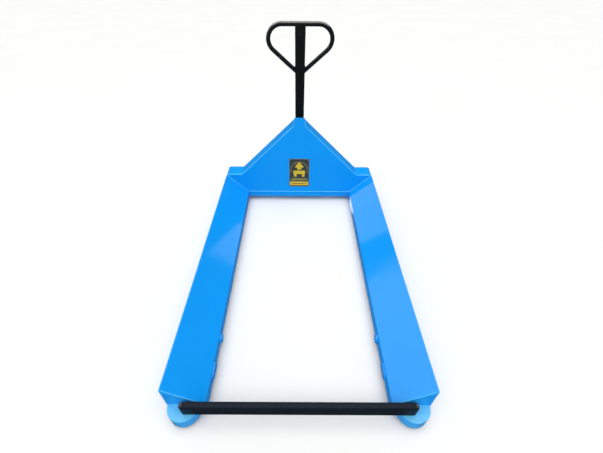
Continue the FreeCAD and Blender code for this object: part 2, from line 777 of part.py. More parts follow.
def lift_yoke(label):
    """Ring round the pump's column, with a crosshead whose slotted arms hold the rocker's pins."""
    yoke_y = "(steer_y - 70)"
    plate = [
        ("-yoke_half", f"{yoke_y} - 16"),
        ("yoke_half", f"{yoke_y} - 16"),
        ("yoke_half", f"{yoke_y} + 39"),
        ("ring_radius", "steer_y"),
        ("-ring_radius", "steer_y"),
        ("-yoke_half", f"{yoke_y} + 39"),
    ]
    thick = "ring_high - ring_low"
    piece = Piece()
    piece.pad("XY", polygon(plate), "ring_low", thick)
    piece.pad("XY", circle("0", "steer_y", "ring_radius"), "ring_low", thick)
    piece.pocket("XY", circle("0", "steer_y", "column_radius + running"), "ring_low", thick)
    slot_slack = "(rocker_arm * (1 - cos(rocker_angle)))"
    slot = rectangle(f"{ARM_Y} - arm_pin - 0.6", f"{ARM_Z} - arm_pin - 1.9",
                     f"{slot_slack} + 2 * arm_pin + 1.2", "2 * arm_pin + 3.8")
    for side in (-1, 1):
        arm_low = mirrored_low(side, "yoke_half - 10", "10")
        cheek = rectangle(f"{yoke_y} - 16", f"{ARM_Z} - 20", "55", f"ring_low - {ARM_Z} + 20")
        piece.pad("YZ", polygon(cheek), arm_low, "10")
        piece.pocket("YZ", polygon(slot), arm_low, "10")
    return finish(piece.body, label)


def pump_body(label):
    """Casting with the ram's cylinder, the oil tank, the plunger's barrel and the tiller's ears."""
    axis = ("0", "steer_y")
    bore = ("0", "plunger_y")
    pivot = ("tiller_y", "tiller_z")
    valve = ("valve_y", "valve_z")
    block = rectangle("-pump_half_x", "steer_y - pump_half_y", "2 * pump_half_x", "2 * pump_half_y")
    neck = rectangle("-ear_gap - ear_thick", "steer_y", "2 * (ear_gap + ear_thick)", "tiller_y - steer_y - 2")
    ear = [
        ("steer_y + 40", "barrel_top - 10"),
        ("steer_y + 40", "tiller_z - 12"),
        ("tiller_y - 5", "tiller_z + ear_radius - 1"),
        ("tiller_y + ear_radius * cos(45)", "tiller_z - ear_radius * sin(45)"),
        ("tiller_y - 5", "barrel_top - 2"),
    ]
    piece = Piece()
    piece.pad("XY", polygon(block), "pump_foot", "ring_low - face_gap - pump_foot")
    piece.round("Fillet", "12", lambda edge: runs_along(edge, 2))
    column = "ring_high - ring_low + 2 * face_gap"
    piece.pad("XY", circle(*axis, "column_radius"), "ring_low - face_gap", column)
    piece.pad("XY", circle(*axis, "tank_radius"), "ring_high + face_gap", "tank_top - ring_high - face_gap")
    tank, top = measure("tank_radius"), measure("tank_top")
    piece.round("Fillet", "6", lambda edge: at(edge, 2, top) and edge.BoundBox.XLength > 1.9 * tank)
    piece.pad("XY", circle(*axis, "tank_radius - 20"), "tank_top", "neck_top - tank_top")
    piece.pad("XY", polygon(neck), "barrel_top - 40", "40")
    piece.pad("XY", circle(*bore, "barrel_radius"), "barrel_top - 84", "84")
    for low in ("-ear_gap - ear_thick", "ear_gap"):
        piece.pad("YZ", polygon(ear), low, "ear_thick")
        piece.pad("YZ", circle(*pivot, "ear_radius"), low, "ear_thick")
    for low in ("-12", "6"):
        piece.pad("YZ", link(valve, ("steer_y + 30", "valve_z"), "10", "12"), low, "6")
    piece.pocket("XY", circle(*axis, "ram_radius + running"), "ram_low - 10", "neck_top - ram_low + 10")
    piece.pocket("YZ", circle("steer_y", "wheel_radius", "steer_axle"), "0", "4 * pump_half_x", both=True)
    piece.pocket("YZ", circle(*pivot, "tiller_pin"), "0", "4 * pump_half_x", both=True)
    piece.pocket("YZ", circle(*valve, "valve_pin"), "0", "4 * pump_half_x", both=True)
    piece.pocket("XY", circle(*bore, "plunger_radius + running"), "barrel_top - 78", "78")
    piece.pocket("XY", circle(*bore, "spring_radius"), "barrel_top - spring_seat", "spring_seat")
    return finish(piece.body, label)


def filler_plug(label):
    """Plug with a hexagon head on the tank's shoulder."""
    piece = Piece()
    piece.pad("XY", circle("plug_x", "plug_y", "5"), "tank_top", "4")
    hexagon = [(f"plug_x + 8 * cos({turn})", f"plug_y + 8 * sin({turn})") for turn in range(0, 360, 60)]
    piece.pad("XY", polygon(hexagon), "tank_top + 4", "5")
    return finish(piece.body, label)


def valve_lever(label):
    """Lowering lever behind the pump's foot, on its own short pin."""
    pivot = ("valve_y", "valve_z")
    eye = ("valve_y + 37", "valve_z + 8")
    piece = Piece()
    piece.pad("YZ", link(pivot, eye, "9", "6"), "-5", "10")
    piece.pad("YZ", circle(*pivot, "valve_pin - running"), "-12", "24")
    piece.pocket("YZ", circle(*eye, "3"), "-5", "10")
    return finish(piece.body, label)


def plunger(label):
    piece = Piece()
    piece.pad("XY", circle("0", "0", "plunger_radius"), "barrel_top - 40", "cap_low - barrel_top + 40")
    piece.pad("XY", circle("0", "0", "cap_radius"), "cap_low", "cap_high")
    rim = measure("cap_low + cap_high")
    piece.round("Chamfer", "1.5", lambda edge: at(edge, 2, rim))
    return finish(piece.body, label, y="plunger_y")


def plunger_spring(label):
    """Coil spring between the barrel's shoulder and the plunger's cap."""
    coil_run = "(cap_low - barrel_top + spring_seat - 2 * wire_radius - 0.4)"
    piece = Piece()
    wire = Sketch(piece.body, "XZ")
    wire.circle(("coil_radius", "wire_radius + 0.15"), "wire_radius")
    coil = piece.body.newObject("PartDesign::AdditiveHelix", "Coil")
    coil.Profile = wire.feature
    coil.ReferenceAxis = (wire.feature, ["V_Axis"])
    coil.Mode = 0
    bind(coil, "Pitch", f"{coil_run} / 7")
    bind(coil, "Height", coil_run)
    doc.recompute()
    return finish(piece.body, label, y="plunger_y", z="barrel_top - spring_seat")


def steer_wheel(side, hub_label, tyre_label):
    wide = "wheel_outer_x - wheel_inner_x"
    low = mirrored_low(side, "wheel_inner_x", wide)
    hub = Piece()
    hub.pad("YZ", circle("steer_y", "wheel_radius", "rim_radius"), low, wide)
    dish_low = mirrored_low(side, "wheel_outer_x - 14", "14")
    hub.pocket("YZ", lambda sketch: sketch.circle(("steer_y", "wheel_radius"), "rim_radius - 8")
               .circle(("steer_y", "wheel_radius"), "26"), dish_low, "14")
    hub.pocket("YZ", circle("steer_y", "wheel_radius", "steer_axle + running"), low, wide)
    finish(hub.body, hub_label)
    tyre = Piece()
    tyre.pad("YZ", circle("steer_y", "wheel_radius", "wheel_radius"), low, wide)
    tread = measure("wheel_radius")
    tyre.round("Fillet", "6", lambda edge: not runs_along(edge, 0) and abs(edge.Curve.Radius - tread) < 0.1)
    tyre.pocket("YZ", circle("steer_y", "wheel_radius", "rim_radius"), low, wide)
    finish(tyre.body, tyre_label)


def steer_axle(label):
    length = "2 * wheel_outer_x + 16"
    return pins(label, [(f"-({length}) / 2", length, "steer_y", "wheel_radius", "steer_axle")])


def axle_caps(label):
    """Retaining washers outside the steering wheels."""
    washers = []
    for side in (-1, 1):
        low = mirrored_low(side, "wheel_outer_x + 1", "5")
        piece = Piece()
        piece.pad("YZ", circle("steer_y", "wheel_radius", "21"), low, "5")
        piece.pocket("YZ", circle("steer_y", "wheel_radius", "steer_axle"), low, "5")
        washers.append(piece.body)
    return grouped(label, washers)


def tiller_pivot_pins(label):
    """Stub pins through each cheek and ear, so that the plunger's cap passes between them."""
    return pins(label, [(mirrored_low(side, "ear_gap", "pivot_reach - ear_gap"), "pivot_reach - ear_gap",
                         "tiller_y", "tiller_z", "tiller_pin") for side in (-1, 1)])


# ---------------------------------------------------------------- tiller, drawn from its pivot

def on_tiller(piece, label):
    return finish(piece, label, y="tiller_y", z="tiller_z", turn="tiller_lean")


PRESS = ("press_reach * cos(press_angle)", "press_reach * sin(press_angle)")


def tiller_yoke(label):
    """Two cheeks outside the pump's ears, tied together below the tube."""
    reach = "(cheek_x + cheek_thick)"
    cheek = [
        ("-18", "-8"),
        ("-18", "tube_low"),
        ("18", "tube_low"),
        ("18", "44"),
        ("28", "30"),
        ("28", "8"),
        ("12", "-16"),
        ("-10", "-16"),
    ]
    piece = Piece()
    piece.pad("XY", polygon(rectangle(f"-{reach}", "-18", f"2 * {reach}", "36")), "tube_low - 36", "36")
    for side in (-1, 1):
        piece.pad("YZ", polygon(cheek), mirrored_low(side, "cheek_x", "cheek_thick"), "cheek_thick")
    piece.pocket("YZ", circle("0", "0", "tiller_pin + running"), "0", f"4 * {reach}", both=True)
    piece.pocket("YZ", circle(*PRESS, "link_pin"), "0", f"4 * {reach}", both=True)
    piece.pocket("XY", circle("0", "rod_seat", "6"), "0", "tube_low + 10")
    return on_tiller(piece.body, label)


def tiller_tube(label):
    piece = Piece()
    long = "tube_high - tube_low"
    piece.pad("XY", polygon(rectangle("-tube_width / 2", "-tube_depth / 2", "tube_width", "tube_depth")),
              "tube_low", long)
    piece.round("Fillet", "tube_bend", lambda edge: runs_along(edge, 2))
    hollow = rectangle("-tube_width / 2 + tube_side", "-tube_depth / 2 + tube_wall",
                       "tube_width - 2 * tube_side", "tube_depth - 2 * tube_wall")
    piece.pocket("XY", polygon(hollow), "tube_low", long)
    return on_tiller(piece.body, label)


def handle_loop(label):
    """Round tube bent to a D: straight top bar, one big bend a side and two legs to the tiller."""
    end_x = "(grip_straight + grip_bend * sin(leg_angle))"
    end_v = "(grip_height - grip_bend - grip_bend * cos(leg_angle))"
    foot_x = "10"
    foot_v = f"({end_v} - ({end_x} - {foot_x}) * tan(leg_angle))"
    piece = Piece()
    path = Sketch(piece.body, "XZ")
    feature = path.feature
    spots = {name: measure(text) for name, text in {
        "x": "grip_straight", "v": "grip_height", "bend": "grip_bend", "end_x": end_x, "end_v": end_v,
        "foot_x": foot_x, "foot_v": foot_v}.items()}
    bar = feature.addGeometry(Part.LineSegment(FreeCAD.Vector(-spots["x"], spots["v"], 0),
                                               FreeCAD.Vector(spots["x"], spots["v"], 0)))
    path.pin(bar, 1, ("-grip_straight", "grip_height"))
    path.pin(bar, 2, ("grip_straight", "grip_height"))
    up = FreeCAD.Vector(0, 0, 1)
    low_turn = math.radians(-(90 - measure("leg_angle")))
    for side in (1, -1):
        centre = FreeCAD.Vector(side * spots["x"], spots["v"] - spots["bend"], 0)
        turns = (low_turn, math.pi / 2) if side > 0 else (math.pi / 2, math.pi - low_turn)
        arc = feature.addGeometry(Part.ArcOfCircle(Part.Circle(centre, up, spots["bend"]), *turns))
        top, low = (2, 1) if side > 0 else (1, 2)
        leg = feature.addGeometry(Part.LineSegment(
            FreeCAD.Vector(side * spots["end_x"], spots["end_v"], 0),
            FreeCAD.Vector(side * spots["foot_x"], spots["foot_v"], 0)))
        feature.addConstraint(Sketcher.Constraint("Tangent", bar, 2 if side > 0 else 1, arc, top))
        feature.addConstraint(Sketcher.Constraint("Tangent", arc, low, leg, 1))
        path.limit("Radius", arc, "grip_bend")
        path.pin(leg, 2, (f"{side} * {foot_x}", foot_v))
    section = Sketch(piece.body, "YZ")
    section.circle(("0", "grip_height"), "grip_radius")
    pipe = piece.body.newObject("PartDesign::AdditivePipe", "Tube")
    pipe.Profile = section.feature
    pipe.Spine = (feature, [f"Edge{i + 1}" for i in range(5)])
    doc.recompute()
    beside_tube = rectangle("-tube_width / 2", "tube_low", "tube_width", "grip_height - tube_low - 100")
    piece.pocket("XZ", polygon(beside_tube), "-50", "100")
    return on_tiller(piece.body, label)


def lever_housing(label):
    """Shell between the tube and the top bar, open behind for the lever."""
    shell = rectangle("-housing_width / 2", "-housing_depth / 2", "housing_width", "housing_depth")
    piece = Piece()
    piece.pad("XY", polygon(shell), "tube_high", "grip_height - tube_high")
    piece.round("Fillet", "12", lambda edge: runs_along(edge, 2))
    piece.pocket("XY", polygon(rectangle("-22", "-18", "44", "36")), "tube_high", "50")
    piece.pocket("XY", polygon(rectangle("-16", "0", "32", "40")), "tube_high + 2", "48")
    piece.pocket("YZ", circle("0", "grip_height", "grip_radius"), "0", "2 * housing_width", both=True)
    piece.pocket("YZ", circle("0", "lever_height", "lever_pin"), "0", "2 * housing_width", both=True)
    return on_tiller(piece.body, label)


def control_lever(label):
    """Finger lever: an arm out of the housing and a wide blade under the grip."""
    arm = [
        ("-14", "lever_height - 4"),
        ("-14", "lever_height + 4"),
        ("-4", "lever_height + 8"),
        ("blade_seat - 10", "lever_height + 8"),
        ("blade_seat", "lever_height + 18"),
        ("blade_seat", "lever_height + 36"),
        ("blade_seat + blade_thick", "lever_height + 36"),
        ("blade_seat + blade_thick", "blade_base"),
        ("blade_seat - 6", "lever_height"),
        ("4", "lever_height - 8"),
        ("-4", "lever_height - 8"),
    ]
    blade = rectangle("blade_seat", "blade_base", "blade_thick", "blade_rise")
    piece = Piece()
    piece.pad("YZ", polygon(arm), "0", "26", both=True)
    piece.pad("YZ", polygon(blade), "0", "2 * blade_half", both=True)
    tips = measure("blade_base"), measure("blade_base + blade_rise")
    end = measure("blade_half")
    piece.round("Fillet", "7", lambda edge: runs_along(edge, 1)
                and at(edge, 0, end, -end) and at(edge, 2, *tips))
    piece.pocket("YZ", circle("0", "lever_height", "lever_pin"), "0", "40", both=True)
    return on_tiller(piece.body, label)


def tiller_rod(label, radius, length, start, across=False):
    """A round rod on the leaning tiller, along the tiller or across it."""
    rod = doc.addObject("Part::Cylinder", "Rod")
    if across:
        rod.Placement.Rotation = FreeCAD.Rotation(FreeCAD.Vector(0, 1, 0), 90)
    bind(rod, "Radius", radius)
    bind(rod, "Height", length)
    for axis, text in zip("xyz", start):
        bind(rod, f"Placement.Base.{axis}", text)
    return grouped(label, [rod], y="tiller_y", z="tiller_z", turn="tiller_lean")


def lever_pin(label):
    start = ("-housing_width / 2", "0", "lever_height")
    return tiller_rod(label, "lever_pin - running", "housing_width", start, across=True)


def pull_rod(label):
    return tiller_rod(label, "4", "lever_height - tube_low + 26", ("0", "rod_seat", "tube_low - 36"))


def press_roller(label):
    piece = Piece()
    piece.pad("YZ", circle(*PRESS, "press_radius"), "0", "24", both=True)
    piece.pocket("YZ", circle(*PRESS, "link_pin + running"), "0", "24", both=True)
    return on_tiller(piece.body, label)


def press_pin(label):
    start = ("-cheek_x - cheek_thick", *PRESS)
    return tiller_rod(label, "link_pin", "2 * (cheek_x + cheek_thick)", start, across=True)


# ---------------------------------------------------------------- the whole truck

def build():
    for side, name in ((-1, "left"), (1, "right")):
        fork(side, f"fork_{name}")
        fork_end(side, f"fork_end_{name}")
        nose(side, f"nose_{name}")
        wall_bosses(side, f"wall_bosses_{name}")
        flange(side, f"flange_{name}")
        heel_web(side, f"heel_web_{name}")
        roller_pivot(side, f"roller_pivot_{name}")
        roller_frame(side, f"roller_frame_{name}")
        roller_pins(side, f"roller_pins_{name}")
        load_roller(side, f"roller_core_{name}", f"roller_tread_{name}")
        push_rod(side, f"push_rod_{name}")
        steer_wheel(side, f"steer_hub_{name}", f"steer_tyre_{name}")
    for make, label in (
            (front_plate, "front_plate"), (cross_member, "cross_member"), (head_bracket, "head_bracket"),
            (lift_ram, "lift_ram"), (badge_plate, "badge_plate"), (badge_rivets, "badge_rivets"),
            (crossbar, "crossbar"), (crossbar_caps, "crossbar_caps"), (crossbar_bolts, "crossbar_bolts"),
            (rocker, "rocker"), (rocker_pins, "rocker_pins"), (lift_yoke, "lift_yoke"),
            (pump_body, "pump_body"), (filler_plug, "filler_plug"), (valve_lever, "valve_lever"),
            (plunger, "plunger"), (plunger_spring, "plunger_spring"), (steer_axle, "steer_axle"),
            (axle_caps, "axle_caps"), (tiller_pivot_pins, "tiller_pivot_pins"),
            (tiller_yoke, "tiller_yoke"), (tiller_tube, "tiller_tube"), (handle_loop, "handle_loop"),
            (lever_housing, "lever_housing"), (control_lever, "control_lever"), (lever_pin, "lever_pin"),
            (pull_rod, "pull_rod"), (press_roller, "press_roller"), (press_pin, "press_pin")):
        make(label)
    doc.recompute()


def write_parts():
    """Check every object and every sub-part, then write one file for each sub-part."""
    faults = [f"{item.Name} ({item.Label})" for item in doc.Objects
              if "Invalid" in item.State or "Error" in item.State]
    faults += [piece.Label for piece in sub_parts if piece.Shape.isNull() or not piece.Shape.isValid()]
    if faults:
        raise ValueError("failed: " + ", ".join(faults))
    os.makedirs("parts", exist_ok=True)
    for piece in sub_parts:
        piece.Shape.exportStep(f"parts/{piece.Label}.step")
    print(len(sub_parts), "sub-parts written")


fill_sheet()
build()
write_parts()
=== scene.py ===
import json
import math

import bmesh
import bpy
from mathutils import Euler, Matrix, Vector


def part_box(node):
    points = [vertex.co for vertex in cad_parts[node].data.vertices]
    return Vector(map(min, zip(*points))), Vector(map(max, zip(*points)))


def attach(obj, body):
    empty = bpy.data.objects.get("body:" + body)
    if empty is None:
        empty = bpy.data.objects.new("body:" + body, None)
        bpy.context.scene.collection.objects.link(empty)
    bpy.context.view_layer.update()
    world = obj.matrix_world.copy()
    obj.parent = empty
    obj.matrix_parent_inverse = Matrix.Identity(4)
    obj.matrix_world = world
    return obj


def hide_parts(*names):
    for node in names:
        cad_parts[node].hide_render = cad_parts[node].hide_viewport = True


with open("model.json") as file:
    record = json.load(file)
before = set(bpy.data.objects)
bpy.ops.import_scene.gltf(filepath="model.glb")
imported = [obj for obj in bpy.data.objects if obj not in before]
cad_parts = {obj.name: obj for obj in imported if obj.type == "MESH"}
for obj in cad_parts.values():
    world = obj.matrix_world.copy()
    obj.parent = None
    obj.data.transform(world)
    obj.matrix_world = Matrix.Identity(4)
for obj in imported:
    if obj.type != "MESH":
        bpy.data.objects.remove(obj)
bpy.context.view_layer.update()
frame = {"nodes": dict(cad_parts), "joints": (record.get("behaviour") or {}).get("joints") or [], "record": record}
nodes = frame["nodes"]
joints = {joint["name"]: joint for joint in frame["joints"]}
SIDES = {"left": -1, "right": 1}
X_AXIS, Z_AXIS = Vector((1, 0, 0)), Vector((0, 0, 1))

# ------------------------------------------------------------------ measures, in metres

PLATE = 0.006                    # thickness of the bent plates
BED_TOP = 0.229                  # height of the beds' outer edges
SHOULDER_X = 0.452               # where the front plate's slanted sides start, level with the beds' edges
KNEE_Z = 0.611                   # where those sides end, under the upright apex
APEX_X = 0.040
APEX_TOP = 0.670
SHOULDER_BEND = 0.020
FRAME_LEAN = math.radians(7.2)
TILLER_LEAN = math.radians(12)
BEAD = 0.0035                    # radius of a weld bead
BEAD_STEP = 0.004                # spacing of its rings
BEAD_RIPPLE = 0.12

inner_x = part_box("fork_right")[0].x
outer_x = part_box("fork_right")[1].x
tip_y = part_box("fork_right")[0].y
fork_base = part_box("fork_right")[0].z
heel_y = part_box("cross_member")[0].y
fork_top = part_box("nose_right")[1].z
tiller_pivot = Vector(joints["tiller_tilt"]["pos_m"])


def rise(z):
    """Distance up the leaning front plate of a height above the floor."""
    return (z - fork_top) / math.cos(FRAME_LEAN)


def on_plate(x, up, out=0.0):
    """Point on the front plate: up its slope, and out from its front face."""
    return Vector((x, heel_y + up * math.sin(FRAME_LEAN) - out * math.cos(FRAME_LEAN),
                   fork_top + up * math.cos(FRAME_LEAN) + out * math.sin(FRAME_LEAN)))


def on_tiller(x, back, along):
    """Point on the tiller: back from its middle plane, and along it from the pivot."""
    return tiller_pivot + Vector((x, back * math.cos(TILLER_LEAN) - along * math.sin(TILLER_LEAN),
                                  back * math.sin(TILLER_LEAN) + along * math.cos(TILLER_LEAN)))


TILLER_UP = on_tiller(0, 0, 1) - on_tiller(0, 0, 0)
TILLER_BACK = on_tiller(0, 1, 0) - on_tiller(0, 0, 0)

# ------------------------------------------------------------------ materials


class Finish:
    """A node material whose patterns are measured in metres on the object."""

    def __init__(self, name, metallic=0.0, specular=0.5):
        self.material = bpy.data.materials.new(name)
        self.material.use_nodes = True
        self.tree = self.material.node_tree
        self.shader = self.tree.nodes["Principled BSDF"]
        self.shader.inputs["Metallic"].default_value = metallic
        self.shader.inputs["Specular IOR Level"].default_value = specular
        self.place = self.node("TexCoord").outputs["Object"]

    def node(self, kind, **settings):
        """Add a shader node of that kind."""
        node = self.tree.nodes.new("ShaderNode" + kind)
        for key, value in settings.items():
            setattr(node, key, value)
        return node

    def join(self, value, socket):
        """Feed a socket from another socket or with a plain value."""
        if isinstance(value, bpy.types.NodeSocket):
            self.tree.links.new(value, socket)
        else:
            socket.default_value = value

    def noise(self, scale, detail=2.0, roughness=0.5, stretch=(1, 1, 1)):
        """Cloudy noise; scale is about its patches per metre, times stretch along each axis."""
        mapping = self.node("Mapping")
        self.join(self.place, mapping.inputs["Vector"])
        mapping.inputs["Scale"].default_value = stretch
        noise = self.node("TexNoise")
        self.join(mapping.outputs["Vector"], noise.inputs["Vector"])
        noise.inputs["Scale"].default_value = scale
        noise.inputs["Detail"].default_value = detail
        noise.inputs["Roughness"].default_value = roughness
        return noise.outputs["Fac"]

    def cells(self, scale):
        """Distance to the middle of the nearest grain, with about scale grains per metre."""
        cells = self.node("TexVoronoi")
        self.join(self.place, cells.inputs["Vector"])
        cells.inputs["Scale"].default_value = scale
        return cells.outputs["Distance"]

    def spread(self, value, low, high, to_low=0.0, to_high=1.0):
        """Map low..high to to_low..to_high, clamped."""
        node = self.node("MapRange")
        self.join(value, node.inputs["Value"])
        for name, number in zip(("From Min", "From Max", "To Min", "To Max"), (low, high, to_low, to_high)):
            node.inputs[name].default_value = number
        return node.outputs["Result"]

    def math(self, operation, a, b):
        node = self.node("Math", operation=operation)
        self.join(a, node.inputs[0])
        self.join(b, node.inputs[1])
        return node.outputs["Value"]

    def mix(self, factor, a, b):
        node = self.node("Mix", data_type="RGBA")
        colours = [socket for socket in node.inputs if socket.type == "RGBA"]
        self.join(factor, node.inputs["Factor"])
        for socket, value in zip(colours, (a, b)):
            self.join(value if isinstance(value, bpy.types.NodeSocket) else (*value, 1.0), socket)
        return next(socket for socket in node.outputs if socket.type == "RGBA")

    def edges(self, width):
        """1 along the edges of the surface, fading to 0 within the width."""
        bevel = self.node("Bevel", samples=4)
        bevel.inputs["Radius"].default_value = width
        dot = self.node("VectorMath", operation="DOT_PRODUCT")
        self.join(bevel.outputs["Normal"], dot.inputs[0])
        self.join(self.node("NewGeometry").outputs["Normal"], dot.inputs[1])
        return self.spread(dot.outputs["Value"], 0.995, 0.90)

    def height(self):
        """Height above the floor at rest."""
        split = self.node("SeparateXYZ")
        self.join(self.place, split.inputs["Vector"])
        return split.outputs["Z"]

    def bump(self, value, depth, strength=1.0, below=None):
        """Relief of a depth in metres, on top of the relief below."""
        node = self.node("Bump")
        self.join(value, node.inputs["Height"])
        node.inputs["Distance"].default_value = depth
        node.inputs["Strength"].default_value = strength
        if below is not None:
            self.join(below, node.inputs["Normal"])
        return node.outputs["Normal"]

    def done(self, colour, roughness, normal):
        """Connect the shader and hand over the material."""
        self.join(colour, self.shader.inputs["Base Color"])
        self.join(roughness, self.shader.inputs["Roughness"])
        self.join(normal, self.shader.inputs["Normal"])
        return self.material


DUST = (0.30, 0.34, 0.38)
DUST_TOP, DUST_FULL = 0.055, 0.02        # heights where dust starts and where it is at its thickest
# Paler blue painted on the noses' top faces: a painted highlight standing in for the ceiling's reflection.
TOP_HIGHLIGHT_PALE = (0.11, 0.46, 0.79)
TOP_HIGHLIGHT_FADE = 0.002                      # the rise over which the painted top highlight takes over
ENAMEL_GLOSS = (0.08, 0.13)              # least and most roughness
ENAMEL_EDGE = 0.005                      # width of the painted highlight line along an edge
COAT_EDGE = 0.003


def enamel(name, deep, bright, edge, specular, highlight_from=None):
    """Sprayed gloss enamel on plate: slow drift of tone, orange peel, and a painted highlight along the edges,
    patchy in strength.

    Dust gathers near the floor. Above highlight_from the paint is painted paler, a painted highlight on the top
    faces.
    """
    finish = Finish(name, specular=specular)
    drift = finish.spread(finish.noise(2.2, 3.0), 0.3, 0.7)
    body = finish.mix(drift, deep, bright)
    freckle = finish.spread(finish.noise(90.0, 3.0, 0.6), 0.62, 0.78, 0.0, 0.12)
    body = finish.mix(freckle, body, edge)
    # Painted highlight: a paler line along the edges, patchy in strength, standing in for the light the creases
    # catch.
    highlight_patchiness = finish.spread(finish.noise(25.0), 0.3, 0.6, 0.35, 0.85)
    painted_edge_highlight = finish.math("MULTIPLY", finish.edges(ENAMEL_EDGE), highlight_patchiness)
    body = finish.mix(painted_edge_highlight, body, edge)
    dust = finish.math("MULTIPLY", finish.spread(finish.height(), DUST_TOP, DUST_FULL),
                       finish.spread(finish.noise(35.0, 4.0, 0.6), 0.4, 0.75, 0.0, 0.5))
    body = finish.mix(dust, body, DUST)
    # Painted highlight: above highlight_from the top faces are painted paler.
    if highlight_from:
        painted_highlight = finish.spread(finish.height(), highlight_from, highlight_from + TOP_HIGHLIGHT_FADE)
        body = finish.mix(painted_highlight, body, TOP_HIGHLIGHT_PALE)
    roughness = finish.spread(finish.noise(14.0, 4.0, 0.6), 0.3, 0.7, *ENAMEL_GLOSS)
    waves = finish.bump(finish.noise(4.5, 1.0), 0.0035, 0.6)
    peel = finish.bump(finish.noise(420.0, 2.0), 0.00025, 0.35, waves)
    return finish.done(body, roughness, peel)


def powder_coat(name, body_colour, pale_tone_and_highlight, specular, roughness):
    """Black powder coat: fine pebble, slow drift of tone, edges painted paler as a patchy painted highlight."""
    finish = Finish(name, specular=specular)
    drift = finish.spread(finish.noise(6.0, 3.0), 0.3, 0.7, 0.0, 0.5)
    body = finish.mix(drift, body_colour, pale_tone_and_highlight)
    # Painted highlight: the edges are painted paler, in patches.
    highlight_patchiness = finish.spread(finish.noise(60.0, 3.0), 0.4, 0.65, 0.1, 0.8)
    painted_highlight = finish.math("MULTIPLY", finish.edges(COAT_EDGE), highlight_patchiness)
    body = finish.mix(painted_highlight, body, tuple(2.2 * channel for channel in pale_tone_and_highlight))
    gloss = finish.spread(finish.noise(30.0, 4.0, 0.6), 0.3, 0.7, roughness, roughness + 0.12)
    pebble = finish.bump(finish.noise(700.0, 2.0), 0.0002, 0.4)
    return finish.done(body, gloss, pebble)


def bare_steel(name, colour, stained, roughness, turned):
    """Zinc-plated or ground steel with tool marks across its length."""
    finish = Finish(name, metallic=1.0)
    stain = finish.spread(finish.noise(40.0, 5.0, 0.65), 0.45, 0.75)
    body = finish.mix(stain, colour, stained)
    marks = finish.noise(900.0, 2.0, 0.5, turned)
    gloss = finish.spread(finish.noise(120.0, 3.0), 0.3, 0.7, roughness, roughness + 0.16)
    return finish.done(body, gloss, finish.bump(marks, 0.0001, 0.35))


def casting(name):
    """Sand casting under thin grey paint."""
    finish = Finish(name, specular=0.35)
    patch = finish.spread(finish.noise(18.0, 5.0, 0.6), 0.35, 0.7)
    body = finish.mix(patch, (0.035, 0.037, 0.040), (0.085, 0.088, 0.092))
    chipped = finish.spread(finish.edges(COAT_EDGE), 0.2, 1.0, 0.0, 0.55)
    body = finish.mix(chipped, body, (0.21, 0.21, 0.21))
    gloss = finish.spread(finish.noise(50.0, 4.0), 0.3, 0.7, 0.42, 0.62)
    grain = finish.bump(finish.cells(420.0), 0.0005, 0.5)
    return finish.done(body, gloss, finish.bump(finish.noise(160.0, 4.0, 0.7), 0.0007, 0.5, grain))


def moulded(name, deep, bright, roughness, grain):
    """Rubber or plastic with a fine moulded grain and scuffs."""
    finish = Finish(name, specular=0.35)
    scuff = finish.spread(finish.noise(75.0, 5.0, 0.7, (0.3, 1, 1)), 0.52, 0.72)
    body = finish.mix(scuff, deep, bright)
    gloss = finish.spread(finish.noise(45.0, 3.0), 0.3, 0.7, roughness, roughness + 0.15)
    return finish.done(body, gloss, finish.bump(finish.cells(grain), 0.0003, 0.4))


def printed(name, deep, bright, roughness=0.35):
    """Screen-printed enamel on the thin name plate."""
    finish = Finish(name, specular=0.3)
    patch = finish.spread(finish.noise(55.0, 4.0, 0.6), 0.35, 0.7)
    body = finish.mix(patch, deep, bright)
    gloss = finish.spread(finish.noise(200.0, 2.0), 0.3, 0.7, roughness, roughness + 0.12)
    return finish.done(body, gloss, finish.bump(finish.noise(600.0, 2.0), 0.0001, 0.3))


BLUE = enamel("blue_enamel", (0.004, 0.305, 0.86), (0.006, 0.320, 0.90), (0.06, 0.47, 0.98), 0.20)
# A paler copy of the blue for the weld seams: a painted highlight along the creases.
BLUE_SEAM_HIGHLIGHT = enamel("blue_enamel_seam_highlight", (0.05, 0.46, 0.95), (0.07, 0.51, 0.97), (0.12, 0.58, 1.0), 0.22)
# The noses' enamel: a paler, lit copy of the blue, with a painted highlight on the top faces.
BLUE_TOP_HIGHLIGHT = enamel("blue_enamel_top_highlight", (0.042, 0.345, 0.79), (0.052, 0.360, 0.82), (0.10, 0.47, 0.88),
                     0.10, highlight_from=fork_top - 0.003)
BLACK = powder_coat("black_powder_coat", (0.0070, 0.0072, 0.0056), (0.0090, 0.0092, 0.0074), 0.16, 0.26)
GRIP_BLACK = powder_coat("grip_powder_coat", (0.0052, 0.0054, 0.0050), (0.0070, 0.0072, 0.0066), 0.60, 0.18)
NAVY = powder_coat("crossbar_powder_coat", (0.006, 0.010, 0.018), (0.009, 0.015, 0.025), 0.03, 0.30)
ROD = powder_coat("rod_paint", (0.010, 0.010, 0.012), (0.020, 0.020, 0.022), 0.30, 0.40)
IRON = casting("grey_casting")
STEEL = bare_steel("zinc_steel", (0.56, 0.56, 0.55), (0.34, 0.33, 0.31), 0.24, (1, 0.08, 0.08))
CHROME = bare_steel("ground_chrome", (0.78, 0.79, 0.80), (0.66, 0.67, 0.69), 0.08, (0.1, 0.1, 1))
TREAD = moulded("black_tread", (0.014, 0.014, 0.015), (0.036, 0.035, 0.034), 0.50, 900.0)
PLASTIC = moulded("cap_plastic", (0.008, 0.008, 0.010), (0.020, 0.020, 0.022), 0.38, 1400.0)
PANEL = printed("badge_panel", (0.030, 0.040, 0.043), (0.060, 0.075, 0.072))
YELLOW = printed("badge_yellow", (0.62, 0.42, 0.018), (0.80, 0.60, 0.040))
